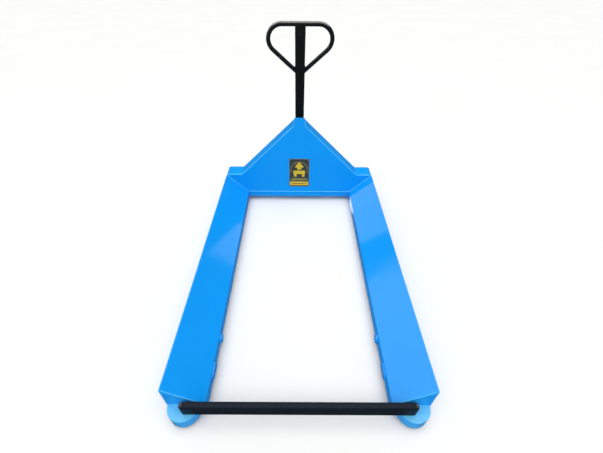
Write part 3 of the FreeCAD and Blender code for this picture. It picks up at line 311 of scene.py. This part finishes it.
BRASS_LINE = printed("badge_ring", (0.24, 0.22, 0.07), (0.34, 0.31, 0.10))
GREY_LABEL = printed("handle_label", (0.0055, 0.0060, 0.0060), (0.0085, 0.0090, 0.0090), 0.45)

SLOT_FINISH = {
    "blue_paint": BLUE,
    "black_paint": BLACK,
    "rod_paint": ROD,
    "pump_casting": IRON,
    "chrome_rod": CHROME,
    "plain_steel": STEEL,
    "wheel_tread": TREAD,
    "cap_plastic": PLASTIC,
    "badge_enamel": PANEL,
}
NODE_FINISH = {
    "crossbar": NAVY,
    "handle_loop": GRIP_BLACK,
    "nose_left": BLUE_TOP_HIGHLIGHT,
    "nose_right": BLUE_TOP_HIGHLIGHT,
}
SHARP_NODES = {"plunger_spring", "handle_loop", "badge_plate", "lift_ram"}
SAME_POINT = 1e-5
SOFT_EDGE = 0.0010
SOFT_ANGLE = math.radians(40)
CREASE_ANGLE = math.radians(32)

for subpart in frame["record"]["subparts"]:
    name = subpart["node"]
    node = nodes[name]
    node.data.materials.clear()
    node.data.materials.append(NODE_FINISH.get(name, SLOT_FINISH[subpart["material_slot"]]))
    weld = node.modifiers.new("weld", "WELD")
    weld.merge_threshold = SAME_POINT
    if name not in SHARP_NODES:
        bevel = node.modifiers.new("soft_edge", "BEVEL")
        bevel.width = SOFT_EDGE
        bevel.segments = 2
        bevel.limit_method = "ANGLE"
        bevel.angle_limit = SOFT_ANGLE
    shading = node.modifiers.new("even_shading", "WEIGHTED_NORMAL")
    shading.keep_sharp = False

# ------------------------------------------------------------------ mesh helpers


def piece(name, bm, finish, body, replaced=()):
    """Make an object of the mesh, give it its finish and let it ride on its body."""
    bmesh.ops.recalc_face_normals(bm, faces=bm.faces)
    mesh = bpy.data.meshes.new(name)
    bm.to_mesh(mesh)
    bm.free()
    mesh.shade_smooth()
    mesh.set_sharp_from_angle(angle=CREASE_ANGLE)
    mesh.materials.append(finish)
    obj = bpy.data.objects.new(name, mesh)
    bpy.context.scene.collection.objects.link(obj)
    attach(obj, body)
    if replaced:
        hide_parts(*replaced)
    return obj


def frame_of(direction):
    """Two unit vectors square to a direction."""
    direction = direction.normalized()
    helper = Z_AXIS if abs(direction.z) < 0.9 else X_AXIS
    first = direction.cross(helper).normalized()
    return first, direction.cross(first).normalized()


def rounded(points, radius, steps=5):
    """A path with each inner corner replaced by an arc of about that radius."""
    path = [points[0]]
    for before, corner, after in zip(points, points[1:], points[2:]):
        into, out = (corner - before), (after - corner)
        half = into.angle(out) / 2
        cut = min(radius * math.tan(half), into.length / 2, out.length / 2)
        start, end = corner - into.normalized() * cut, corner + out.normalized() * cut
        for i in range(steps + 1):
            share = i / steps
            path.append(start.lerp(corner, share).lerp(corner.lerp(end, share), share))
    path.append(points[-1])
    return path


def evenly(points, step):
    """Points along a path at an even spacing."""
    path, left = [points[0].copy()], step
    for a, b in zip(points, points[1:]):
        length = (b - a).length
        while left <= length:
            path.append(a.lerp(b, left / length))
            left += step
        left -= length
    path.append(points[-1].copy())
    return path


def sweep(bm, path, radius, sides=8, ripple=0.0):
    """A round bar along a path; ripple makes every other ring a little thinner."""
    rings = []
    across = frame_of(path[1] - path[0])[0]
    for i, point in enumerate(path):
        ahead = (path[min(i + 1, len(path) - 1)] - path[max(i - 1, 0)]).normalized()
        across = (across - ahead * across.dot(ahead)).normalized()
        other = ahead.cross(across)
        size = radius * (1 - ripple * (i % 2))
        rings.append([bm.verts.new(point + size * (across * math.cos(turn) + other * math.sin(turn)))
                      for turn in (2 * math.pi * k / sides for k in range(sides))])
    for low, high in zip(rings, rings[1:]):
        for k in range(sides):
            bm.faces.new((low[k], low[(k + 1) % sides], high[(k + 1) % sides], high[k]))
    bm.faces.new(rings[0])
    bm.faces.new(rings[-1][::-1])


def lathe(bm, profile, centre, axis, sides=40):
    """Turn a profile of (radius, height) about an axis.

    A profile that keeps off the axis is a closed loop.
    """
    first, second = frame_of(axis)
    axis = axis.normalized()
    closed = all(radius > 0 for radius, height in profile)
    rings = []
    for radius, height in profile:
        spot = centre + axis * height
        if radius == 0:
            rings.append([bm.verts.new(spot)])
            continue
        rings.append([bm.verts.new(spot + radius * (first * math.cos(turn) + second * math.sin(turn)))
                      for turn in (2 * math.pi * k / sides for k in range(sides))])
    for low, high in zip(rings, rings[1:] + (rings[:1] if closed else [])):
        for k in range(sides):
            after = (k + 1) % sides
            corners = (low[k % len(low)], low[after % len(low)],
                       high[after % len(high)], high[k % len(high)])
            bm.faces.new(list(dict.fromkeys(corners)))


def slab(bm, outline, place, thick):
    """A flat plate: outline points (u, v) put in place, with thickness outwards."""
    low = [bm.verts.new(place(u, v, 0.0)) for u, v in outline]
    high = [bm.verts.new(place(u, v, thick)) for u, v in outline]
    bm.faces.new(low)
    bm.faces.new(high)
    count = len(outline)
    for i in range(count):
        j = (i + 1) % count
        bm.faces.new((low[i], low[j], high[j], high[i]))


def hexagon(bm, centre, axis, across_flats, height, chamfer=0.0008):
    """A hexagon nut or bolt head with its top corners chamfered."""
    corner = across_flats / math.sqrt(3)
    lathe(bm, [(0, 0), (corner, 0), (corner, height - chamfer), (corner - chamfer, height), (0, height)],
          centre, axis, sides=6)


def dome(bm, centre, axis, radius, height, sides=20):
    """A round rivet or screw head."""
    steps = 5
    profile = [(radius * math.cos(turn), height * math.sin(turn))
               for turn in (i * math.pi / 2 / steps for i in range(steps))]
    lathe(bm, [(0, 0)] + profile + [(0, height)], centre, axis, sides)


def ring(bm, centre, axis, radius, thick, sides=40):
    """A round-section ring."""
    steps = 8
    profile = [(radius + thick * math.cos(turn), thick * math.sin(turn))
               for turn in (2 * math.pi * i / steps for i in range(steps))]
    lathe(bm, profile, centre, axis, sides)


def weld_bead(name, path, body, finish, radius=BEAD):
    """A rippled seam along a path."""
    bm = bmesh.new()
    sweep(bm, evenly(path, BEAD_STEP), radius, ripple=BEAD_RIPPLE)
    return piece(name, bm, finish, body)


# ------------------------------------------------------------------ frame seams

GUSSET_TOP = APEX_TOP - 0.012
EDGE_STEP = 0.001                # the seam behind the front plate stands this far outside its edge
SEAM_BEHIND = PLATE - 0.0015     # and its middle this far behind the plate's face
CORNER_TUCK = 0.003              # seams stop this far inside the forks' outer corners
SEAM_PROUD = 0.0005              # and their middles stand this far out of the surface
HEEL_BEND = 0.012
NOSE_BEAD = 0.0028
NOSE_SHARE = 0.985               # share of a nose's width that its seam covers
END_BEAD = 0.0022
END_BEND = 0.004
END_LIFT = 0.004                 # the seam at a fork's end starts this far above its base
BED_EDGE_INSET = 0.002
BED_EDGE_BACK = 0.0012

# These seams, except those round the forks' ends, wear the paler seam enamel: a painted highlight along the
# creases.
for side, sign in SIDES.items():
    plate_edge = [on_plate(sign * x, rise(z), -SEAM_BEHIND) for x, z in (
        (outer_x - BEAD, BED_TOP + EDGE_STEP), (SHOULDER_X, BED_TOP + EDGE_STEP),
        (APEX_X + EDGE_STEP, KNEE_Z + EDGE_STEP), (APEX_X + EDGE_STEP, GUSSET_TOP))]
    weld_bead(f"plate_edge_seam_{side}", rounded(plate_edge, SHOULDER_BEND),
              "frame", BLUE_SEAM_HIGHLIGHT)

heel_path = [on_plate(x, rise(z), SEAM_PROUD) for x, z in (
    (-outer_x + CORNER_TUCK, BED_TOP - CORNER_TUCK), (-inner_x, fork_top), (inner_x, fork_top),
    (outer_x - CORNER_TUCK, BED_TOP - CORNER_TUCK))]
weld_bead("heel_seam", rounded(heel_path, HEEL_BEND), "frame", BLUE_SEAM_HIGHLIGHT)

for side, sign in SIDES.items():
    low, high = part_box(f"nose_{side}")
    middle_x = (low.x + high.x) / 2
    reach = (high.x - low.x) / 2
    nose_path = [Vector((middle_x + end * reach * NOSE_SHARE, tip_y - SEAM_PROUD, fork_top + SEAM_PROUD))
                 for end in (-1, 1)]
    weld_bead(f"nose_seam_{side}", nose_path, "frame", BLUE_SEAM_HIGHLIGHT, NOSE_BEAD)
    slope = (BED_TOP - fork_top) / (outer_x - inner_x)
    drop = PLATE * math.sqrt(1 + slope ** 2)
    end_path = [Vector((sign * x, tip_y, z)) for x, z in (
        (inner_x + PLATE, fork_base + END_LIFT), (inner_x + PLATE, fork_top - drop + PLATE * slope),
        (outer_x - PLATE, BED_TOP - drop - PLATE * slope), (outer_x - PLATE, fork_base + END_LIFT))]
    weld_bead(f"fork_end_seam_{side}", rounded(end_path, END_BEND), "frame", BLUE, END_BEAD)
    edge_path = [Vector((sign * x, tip_y + BED_EDGE_BACK, z)) for x, z in (
        (inner_x + BED_EDGE_INSET, fork_top - SEAM_PROUD), (outer_x - CORNER_TUCK, BED_TOP - CORNER_TUCK))]
    weld_bead(f"bed_edge_{side}", edge_path, "frame", BLUE_SEAM_HIGHLIGHT, END_BEAD)

# ------------------------------------------------------------------ name plate

badge_low, badge_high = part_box("badge_plate")
badge_half = (badge_high.x - badge_low.x) / 2
badge_foot = (badge_low.z - fork_top) / math.cos(FRAME_LEAN)
badge_rise = (badge_high.z - badge_low.z) / math.cos(FRAME_LEAN)
BADGE_FACE = 0.0016              # the name plate's face, out from the front plate's
PRINT_THICK = 0.0005
RULE_THICK = 0.0008


def on_badge(x, up, out):
    """Point on the name plate: x and up as shares of its half-width and of its height."""
    return on_plate(x * badge_half, badge_foot + up * badge_rise, BADGE_FACE + out)


def artwork(name, outlines, finish, thick=PRINT_THICK):
    """Printed areas of one colour on the name plate."""
    bm = bmesh.new()
    for outline in outlines:
        slab(bm, outline, on_badge, thick)
    return piece(name, bm, finish, "frame")


def band(u, v, wide, high):
    """A rectangle about a middle point, by its half-width and half-height."""
    return [(u - wide, v - high), (u + wide, v - high), (u + wide, v + high), (u - wide, v + high)]


STRIP_UP = 0.115
artwork("badge_strip", [band(0, STRIP_UP, 0.93, 0.068)], YELLOW)
artwork("badge_strip_rule", [band(0, STRIP_UP, 0.72, 0.010)], PANEL, RULE_THICK)
artwork("badge_rules", [band(0, 0.278, 0.78, 0.026), band(0, 0.222, 0.93, 0.008)], BRASS_LINE)
# A plain lifting sign: an arrowhead over a load on two stubby feet.
artwork("badge_sign", [
    [(-0.46, 0.70), (0.0, 0.90), (0.46, 0.70), (0.20, 0.70), (0.20, 0.62), (-0.20, 0.62), (-0.20, 0.70)],
    band(0, 0.525, 0.58, 0.06),
    band(-0.40, 0.415, 0.13, 0.05),
    band(0.40, 0.415, 0.13, 0.05),
], YELLOW)

RING_UP = 0.60
RING_SHARE = 0.86                # the ring's radius as a share of the plate's half-width
RING_THICK = 0.0022
ring_turns = [math.radians(6 * i) for i in range(-3, 34)]
ring_path = [on_badge(RING_SHARE * math.cos(turn),
                      RING_UP + RING_SHARE * badge_half / badge_rise * math.sin(turn), 0.0)
             for turn in ring_turns]
bm = bmesh.new()
sweep(bm, ring_path, RING_THICK, sides=6)
piece("badge_ring", bm, BRASS_LINE, "frame")

RIM_X, RIM_UP = 0.985, 0.008
RIM_BEND = 0.006
RIM_THICK = 0.0013
rim = [(-RIM_X, RIM_UP), (RIM_X, RIM_UP), (RIM_X, 1 - RIM_UP), (-RIM_X, 1 - RIM_UP), (-RIM_X, RIM_UP)]
bm = bmesh.new()
sweep(bm, rounded([on_badge(x, y, 0.0) for x, y in rim], RIM_BEND), RIM_THICK, sides=6)
piece("badge_rim", bm, BRASS_LINE, "frame")

RIVET_INSET = 0.010
RIVET_RADIUS, RIVET_HIGH = 0.004, 0.0018
RIVET_SINK = 0.0002
plate_out = on_plate(0, 0, 1) - on_plate(0, 0, 0)
bm = bmesh.new()
for x in (-1, 1):
    for up in (RIVET_INSET, badge_rise - RIVET_INSET):
        spot = on_plate(x * (badge_half - RIVET_INSET), badge_foot + up, BADGE_FACE - RIVET_SINK)
        dome(bm, spot, plate_out, RIVET_RADIUS, RIVET_HIGH)
piece("badge_rivet_heads", bm, STEEL, "frame", ["badge_rivets"])

# ------------------------------------------------------------------ crossbar

BOLT_FLATS, BOLT_HEAD = 0.019, 0.0078
BOLT_END_X = 0.010               # a bolt's middle, in from the outer end of the pair's box
HEAD_UP = 0.008                  # the head hangs from this height above the box's foot
WASHER_UP, WASHER_HIGH = 0.006, 0.002
WASHER_BORE, WASHER_RADIUS = 0.006, 0.0125
SHANK_UP, SHANK_LONG = 0.007, 0.023
SHANK_RADIUS, SHANK_TIP = 0.0058, 0.0050
SHANK_BEVEL = 0.001

bar_low, bar_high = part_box("crossbar")
bolts_low, bolts_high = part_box("crossbar_bolts")
for side, sign in SIDES.items():
    bolt = Vector((sign * (bolts_high.x - BOLT_END_X), (bar_low.y + bar_high.y) / 2, bolts_low.z))
    bm = bmesh.new()
    hexagon(bm, bolt + Z_AXIS * HEAD_UP, -Z_AXIS, BOLT_FLATS, BOLT_HEAD)
    lathe(bm, [(WASHER_BORE, 0), (WASHER_RADIUS, 0), (WASHER_RADIUS, WASHER_HIGH),
               (WASHER_BORE, WASHER_HIGH)], bolt + Z_AXIS * WASHER_UP, Z_AXIS)
    lathe(bm, [(0, 0), (SHANK_RADIUS, 0), (SHANK_RADIUS, SHANK_LONG - SHANK_BEVEL),
               (SHANK_TIP, SHANK_LONG), (0, SHANK_LONG)], bolt + Z_AXIS * SHANK_UP, Z_AXIS, 20)
    piece(f"crossbar_bolt_{side}", bm, STEEL, "frame", ["crossbar_bolts"])

# ------------------------------------------------------------------ steering wheels and axle

HUB_DEPTH = 0.014                # the hub's face lies this deep inside the tyre's
HUB_FIXINGS = 5
HUB_BOLT_CIRCLE = 0.043
HUB_BOLT_FLATS, HUB_BOLT_HIGH = 0.013, 0.006
HUB_BOLT_TURN, HUB_RIB_TURN = 18, 54
HUB_RIB_IN, HUB_RIB_OUT = 0.027, 0.059
HUB_RIB = 0.0045
HUB_RIB_SINK = 0.001
TYRE_LINE = 0.0011
OUTER_LINES = (0.0715, 0.0765)
INNER_LINE = 0.0735
CLIP_CIRCLE, CLIP_THICK = 0.0125, 0.0012
CLIP_INSET = 0.0015

axle_low, axle_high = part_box("steer_axle")
wheel_y = (axle_low.y + axle_high.y) / 2
wheel_z = (axle_low.z + axle_high.z) / 2


def wheel_rays(first):
    """Unit vectors across the wheel, one for each fixing, from a first angle in degrees."""
    for i in range(HUB_FIXINGS):
        turn = math.radians(360 / HUB_FIXINGS * i + first)
        yield Vector((0, math.cos(turn), math.sin(turn)))


for side, sign in SIDES.items():
    low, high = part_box(f"steer_tyre_{side}")
    face_x, inside_x = (high.x, low.x) if sign > 0 else (low.x, high.x)
    outward = X_AXIS * sign
    body = f"steer_wheel_{side}"
    hub_face = Vector((face_x - sign * HUB_DEPTH, wheel_y, wheel_z))
    bm = bmesh.new()
    for ray in wheel_rays(HUB_BOLT_TURN):
        hexagon(bm, hub_face + ray * HUB_BOLT_CIRCLE, outward, HUB_BOLT_FLATS, HUB_BOLT_HIGH)
    piece(f"hub_bolts_{side}", bm, STEEL, body)
    bm = bmesh.new()
    rib_face = hub_face - outward * HUB_RIB_SINK
    for ray in wheel_rays(HUB_RIB_TURN):
        sweep(bm, [rib_face + ray * HUB_RIB_IN, rib_face + ray * HUB_RIB_OUT], HUB_RIB, sides=10)
    piece(f"hub_ribs_{side}", bm, IRON, body)
    bm = bmesh.new()
    for radius in OUTER_LINES:
        ring(bm, Vector((face_x, wheel_y, wheel_z)), outward, radius, TYRE_LINE, 64)
    ring(bm, Vector((inside_x, wheel_y, wheel_z)), outward, INNER_LINE, TYRE_LINE, 64)
    piece(f"tyre_lines_{side}", bm, TREAD, body)
    bm = bmesh.new()
    end_x = axle_high.x if sign > 0 else axle_low.x
    ring(bm, Vector((end_x - sign * CLIP_INSET, wheel_y, wheel_z)), outward, CLIP_CIRCLE, CLIP_THICK, 32)
    piece(f"axle_clip_{side}", bm, STEEL, "steer_unit")

# ------------------------------------------------------------------ hydraulic unit

NECK_TOP = 0.312
WIPER_BORE, WIPER_RADIUS = 0.0163, 0.0225
WIPER_HIGH, WIPER_BEVEL = 0.0028, 0.002
TANK_TOP = 0.300
SCREW_CIRCLE = 0.035
SCREW_TURNS = (150, 210, 330, 390)
SCREW_RADIUS, SCREW_HIGH = 0.0045, 0.005
SCREW_BEVEL = 0.0005
SOCKET_RADIUS, SOCKET_FOOT = 0.0024, 0.0022
SOCKET_DEPTH = 0.002
RIB_TURNS = (215, 325)
RIB_CIRCLE, RIB_RADIUS = 0.0455, 0.004
RIB_LOW, RIB_HIGH = 0.222, 0.290
HOOP_CIRCLE = 0.0460
HOOPS = ((0.224, 0.0022), (0.288, 0.0018))       # height and thickness of each
BLOCK_HALF = 0.030
# Side, distance behind the ram, height, width across flats and height of the head.
VALVE_PLUGS = ((1, -0.012, 0.165, 0.015, 0.006),
               (-1, 0.010, 0.165, 0.012, 0.005),
               (1, 0.018, 0.135, 0.010, 0.004))

ram_low, ram_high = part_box("lift_ram")
ram_axis = Vector((0, (ram_low.y + ram_high.y) / 2, 0))
bm = bmesh.new()
lathe(bm, [(WIPER_BORE, 0), (WIPER_RADIUS, 0), (WIPER_RADIUS, WIPER_HIGH - WIPER_BEVEL / 2),
           (WIPER_RADIUS - WIPER_BEVEL, WIPER_HIGH), (WIPER_BORE, WIPER_HIGH)],
      ram_axis + Z_AXIS * NECK_TOP, Z_AXIS)
piece("ram_wiper", bm, PLASTIC, "steer_unit")

bm = bmesh.new()
for turn in (math.radians(angle) for angle in SCREW_TURNS):
    spot = ram_axis + Vector((SCREW_CIRCLE * math.cos(turn), SCREW_CIRCLE * math.sin(turn), TANK_TOP))
    lathe(bm, [(0, 0), (SCREW_RADIUS, 0), (SCREW_RADIUS, SCREW_HIGH - SCREW_BEVEL),
               (SCREW_RADIUS - SCREW_BEVEL, SCREW_HIGH), (SOCKET_RADIUS, SCREW_HIGH),
               (SOCKET_FOOT, SCREW_HIGH - SOCKET_DEPTH), (0, SCREW_HIGH - SOCKET_DEPTH)],
          spot, Z_AXIS, 16)
piece("tank_screws", bm, STEEL, "steer_unit")

bm = bmesh.new()
for turn in (math.radians(angle) for angle in RIB_TURNS):
    foot = ram_axis + Vector((math.cos(turn), math.sin(turn), 0)) * RIB_CIRCLE
    sweep(bm, [foot + Z_AXIS * RIB_LOW, foot + Z_AXIS * RIB_HIGH], RIB_RADIUS, sides=10)
for height, thick in HOOPS:
    ring(bm, ram_axis + Z_AXIS * height, Z_AXIS, HOOP_CIRCLE, thick, 56)
piece("tank_ribs", bm, IRON, "steer_unit")

bm = bmesh.new()
for sign, back, height, flats, head in VALVE_PLUGS:
    hexagon(bm, Vector((sign * BLOCK_HALF, ram_axis.y + back, height)), X_AXIS * sign, flats, head)
piece("valve_plugs", bm, STEEL, "steer_unit")

# ------------------------------------------------------------------ tiller and handle

TUBE_TOP = 0.880                 # distances along the tiller are measured from its pivot
TUBE_LOW = 0.130
TUBE_HALF_X, TUBE_HALF_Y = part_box("tiller_tube")[1].x, 0.020
TUBE_BEND = 0.013
HOUSING_HALF_X, HOUSING_HALF_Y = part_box("lever_housing")[1].x, 0.0215
HOUSING_BEND = 0.012
HOUSING_LINE = 0.0012
LINE_SINK = 0.0006
GRIP_HEIGHT = 0.960
GRIP_RADIUS = 0.014
HOUSING_LINES = (TUBE_TOP + 0.001, GRIP_HEIGHT - 0.010)
FOOT_BEAD = 0.0025
FOOT_TUCK = 0.001                # the foot seam lies this far inside the tube and above its end
LABEL_HALF = 0.018
LABEL_LOW, LABEL_HIGH = TUBE_TOP + 0.012, GRIP_HEIGHT - 0.020
LABEL_THICK = 0.0007
# Distance behind the tiller's middle, along it, radius and height of the head.
HOUSING_SCREWS = ((0, 0.905, 0.0055, 0.0022), (-0.010, 0.935, 0.0035, 0.0015))
LEG_SLANT = math.radians(43)
LEG_FOOT = 0.684                 # where the loop's legs meet the tube
LEG_BEAD = 0.0024
LEG_BEAD_STEP = 0.003
LEG_BEAD_RIPPLE = 0.15
LEG_BEAD_GAP = 0.0003


def around(half_x, half_y, along, bend):
    """A closed path round the tiller."""
    corners = [(0, -half_y), (half_x, -half_y), (half_x, half_y),
               (-half_x, half_y), (-half_x, -half_y), (0, -half_y)]
    return rounded([on_tiller(x, y, along) for x, y in corners], bend)


def on_housing(x, along, out):
    """Point on the lever housing's front face."""
    return on_tiller(x, -HOUSING_HALF_Y - out, along)


weld_bead("tube_foot_seam", around(TUBE_HALF_X, TUBE_HALF_Y - FOOT_TUCK, TUBE_LOW + FOOT_TUCK, TUBE_BEND),
          "tiller", BLACK, FOOT_BEAD)
bm = bmesh.new()
for along in HOUSING_LINES:
    line = around(HOUSING_HALF_X - LINE_SINK, HOUSING_HALF_Y - LINE_SINK, along, HOUSING_BEND)
    sweep(bm, line, HOUSING_LINE)
piece("housing_lines", bm, BLACK, "tiller")

bm = bmesh.new()
label = band(0, (LABEL_LOW + LABEL_HIGH) / 2, LABEL_HALF, (LABEL_HIGH - LABEL_LOW) / 2)
slab(bm, label, on_housing, LABEL_THICK)
piece("housing_label", bm, GREY_LABEL, "tiller")

bm = bmesh.new()
for sign in SIDES.values():
    for back, along, radius, height in HOUSING_SCREWS:
        dome(bm, on_tiller(sign * HOUSING_HALF_X, back, along), X_AXIS * sign, radius, height)
piece("housing_screws", bm, STEEL, "tiller")

bm = bmesh.new()
seam_radius = GRIP_RADIUS + LEG_BEAD_GAP
seam_points = 28
for sign in SIDES.values():
    centre = on_tiller(sign * TUBE_HALF_X, 0, LEG_FOOT)
    path = [centre + TILLER_BACK * seam_radius * math.cos(turn)
            + TILLER_UP * seam_radius / math.cos(LEG_SLANT) * math.sin(turn)
            for turn in (2 * math.pi * i / seam_points for i in range(seam_points + 1))]
    sweep(bm, evenly(path, LEG_BEAD_STEP), LEG_BEAD, ripple=LEG_BEAD_RIPPLE)
piece("leg_seams", bm, BLACK, "tiller")

# ------------------------------------------------------------------ load rollers and linkage

SEAL_BORE, SEAL_RADIUS = 0.0105, 0.0205
SEAL_SINK, SEAL_PROUD = 0.001, 0.0008
BUTTON_RADIUS, BUTTON_TOP = 0.0085, 0.0070
BUTTON_HIGH, BUTTON_BEVEL = 0.0014, 0.0008
BOSS_CIRCLE, BOSS_BEAD = 0.0222, 0.0022
BOSS_PROUD = 0.0006
ROCKER_SEAM_X = (0.128, 0.138, 0.477)            # beside the arms and the cranks
ROCKER_CIRCLE, ROCKER_BEAD = 0.0115, 0.0024

for side, sign in SIDES.items():
    low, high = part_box(f"roller_tread_{side}")
    centre = (low + high) / 2
    bm = bmesh.new()
    for end in (-1, 1):
        face = Vector((low.x if end < 0 else high.x, centre.y, centre.z))
        lathe(bm, [(SEAL_BORE, -SEAL_SINK), (SEAL_BORE, SEAL_PROUD), (SEAL_RADIUS, SEAL_PROUD),
                   (SEAL_RADIUS, -SEAL_SINK)], face, X_AXIS * end)
    piece(f"roller_seals_{side}", bm, PLASTIC, f"load_roller_{side}")
    pin_low, pin_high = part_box(f"roller_pivot_{side}")
    pin_end = Vector((pin_low.x if sign > 0 else pin_high.x, (pin_low.y + pin_high.y) / 2,
                      (pin_low.z + pin_high.z) / 2))
    bm = bmesh.new()
    lathe(bm, [(0, 0), (BUTTON_RADIUS, 0), (BUTTON_RADIUS, BUTTON_HIGH - BUTTON_BEVEL),
               (BUTTON_TOP, BUTTON_HIGH), (0, BUTTON_HIGH)], pin_end, -X_AXIS * sign)
    piece(f"pivot_button_{side}", bm, BLUE, "frame")
    bm = bmesh.new()
    ring(bm, Vector((sign * (inner_x - BOSS_PROUD), pin_end.y, pin_end.z)), X_AXIS, BOSS_CIRCLE, BOSS_BEAD)
    piece(f"boss_seam_{side}", bm, BLUE, "frame")

rocker_pivot = Vector(joints["rocker_turn"]["pos_m"])
bm = bmesh.new()
for sign in SIDES.values():
    for x in ROCKER_SEAM_X:
        ring(bm, Vector((sign * x, rocker_pivot.y, rocker_pivot.z)), X_AXIS, ROCKER_CIRCLE, ROCKER_BEAD, 28)
piece("rocker_seams", bm, BLACK, "rocker_shaft")

# ------------------------------------------------------------------ studio

FLOOR_HALF = 60
SKY_COLOUR = (0.97, 0.985, 1.0, 1.0)
SKY_LIGHT = 0.42
SKY_REFLECTION = 0.08
SUN_DISTANCE = 6
WINDOW_LEAN = (0, 0.606, 0.795)


def studio_floor():
    """A plain pale floor that glossy surfaces don't mirror."""
    finish = Finish("pale_floor", specular=0.1)
    patch = finish.spread(finish.noise(1.2, 2.0), 0.3, 0.7)
    tone = finish.mix(patch, (0.80, 0.805, 0.81), (0.82, 0.825, 0.83))
    material = finish.done(tone, 0.8, finish.bump(finish.noise(200.0), 0.0002, 0.2))
    bm = bmesh.new()
    bmesh.ops.create_grid(bm, x_segments=4, y_segments=4, size=FLOOR_HALF)
    mesh = bpy.data.meshes.new("floor")
    bm.to_mesh(mesh)
    bm.free()
    mesh.materials.append(material)
    floor = bpy.data.objects.new("floor", mesh)
    bpy.context.scene.collection.objects.link(floor)
    floor.visible_glossy = False


def soft_sun(name, azimuth, elevation, strength, spread, colour):
    """A very wide sun: even soft light from one side of the sky. Azimuth 0 comes from +Y."""
    data = bpy.data.lights.new(name, "SUN")
    data.energy = strength
    data.angle = math.radians(spread)
    data.color = colour
    lamp = bpy.data.objects.new(name, data)
    turn, lift = math.radians(azimuth), math.radians(elevation)
    place = Vector((math.sin(turn) * math.cos(lift), math.cos(turn) * math.cos(lift), math.sin(lift)))
    lamp.location = place * SUN_DISTANCE
    lamp.rotation_euler = place.to_track_quat("Z", "Y").to_euler()
    lamp.visible_glossy = False
    bpy.context.scene.collection.objects.link(lamp)


def reflector(name, centre, facing, along, size, radiance):
    """A bright panel that only shows in glossy surfaces; along is the direction of its first side."""
    data = bpy.data.lights.new(name, "AREA")
    data.shape = "RECTANGLE"
    data.size, data.size_y = size
    data.energy = radiance * math.pi * size[0] * size[1]
    lamp = bpy.data.objects.new(name, data)
    back = -Vector(facing).normalized()
    side = Vector(along).normalized()
    turned = Matrix((side, back.cross(side), back)).transposed().to_4x4()
    lamp.matrix_world = Matrix.Translation(centre) @ turned
    lamp.visible_diffuse = False
    lamp.visible_camera = False
    bpy.context.scene.collection.objects.link(lamp)


def studio_world():
    """Pale all round to the camera, softer as light, and dim in reflections, which the panels supply."""
    world = bpy.data.worlds.new("studio")
    bpy.context.scene.world = world
    world.use_nodes = True
    tree = world.node_tree
    background = tree.nodes["Background"]
    background.inputs["Color"].default_value = SKY_COLOUR
    rays = tree.nodes.new("ShaderNodeLightPath")
    strength = SKY_LIGHT
    for ray, value in (("Is Glossy Ray", SKY_REFLECTION), ("Is Camera Ray", 1.0)):
        choose = tree.nodes.new("ShaderNodeMix")
        tree.links.new(rays.outputs[ray], choose.inputs["Factor"])
        if isinstance(strength, float):
            choose.inputs["A"].default_value = strength
        else:
            tree.links.new(strength, choose.inputs["A"])
        choose.inputs["B"].default_value = value
        strength = choose.outputs["Result"]
    tree.links.new(strength, background.inputs["Strength"])


studio_floor()
studio_world()
soft_sun("ceiling", azimuth=180, elevation=80, strength=2.4, spread=70, colour=(1.0, 0.99, 0.95))
soft_sun("front_fill", azimuth=200, elevation=38, strength=0.5, spread=80, colour=(1.0, 1.0, 1.0))
reflector("ceiling_panel", centre=(0, 1, 4.5), facing=(0, 0, -1), along=(1, 0, 0),
          size=(9, 6), radiance=5.0)
reflector("window_tip", centre=(-3, 1.57, 2.27), facing=(1, 0, 0), along=WINDOW_LEAN,
          size=(3.1, 2.6), radiance=2.8)
reflector("window_heel", centre=(0.234, 0.60, 0.226), facing=(0, -1, 0), along=(0.636, 0, 0.772),
          size=(0.50, 0.60), radiance=1.8)

# ------------------------------------------------------------------ camera

CAMERA_PLACE = (-0.00945, -1.51244, 1.59606)
CAMERA_PITCH = math.radians(41.046)
CAMERA_YAW = math.radians(0.174)
CAMERA_ROLL = math.radians(0.435)
LENS_MM, SENSOR_MM = 19.232, 36.0
SHIFT_X, SHIFT_Y = 0.00505, 0.00114

data = bpy.data.cameras.new("camera")
data.lens = LENS_MM
data.sensor_width = SENSOR_MM
data.shift_x = SHIFT_X
data.shift_y = SHIFT_Y
camera = bpy.data.objects.new("camera", data)
tilt = Euler((math.pi / 2 - CAMERA_PITCH, 0, -CAMERA_YAW)).to_matrix()
camera.rotation_euler = (tilt @ Matrix.Rotation(CAMERA_ROLL, 3, "Z")).to_euler()
camera.location = CAMERA_PLACE
bpy.context.scene.collection.objects.link(camera)
bpy.context.scene.camera = camera
bpy.context.scene.view_settings.view_transform = "Standard"
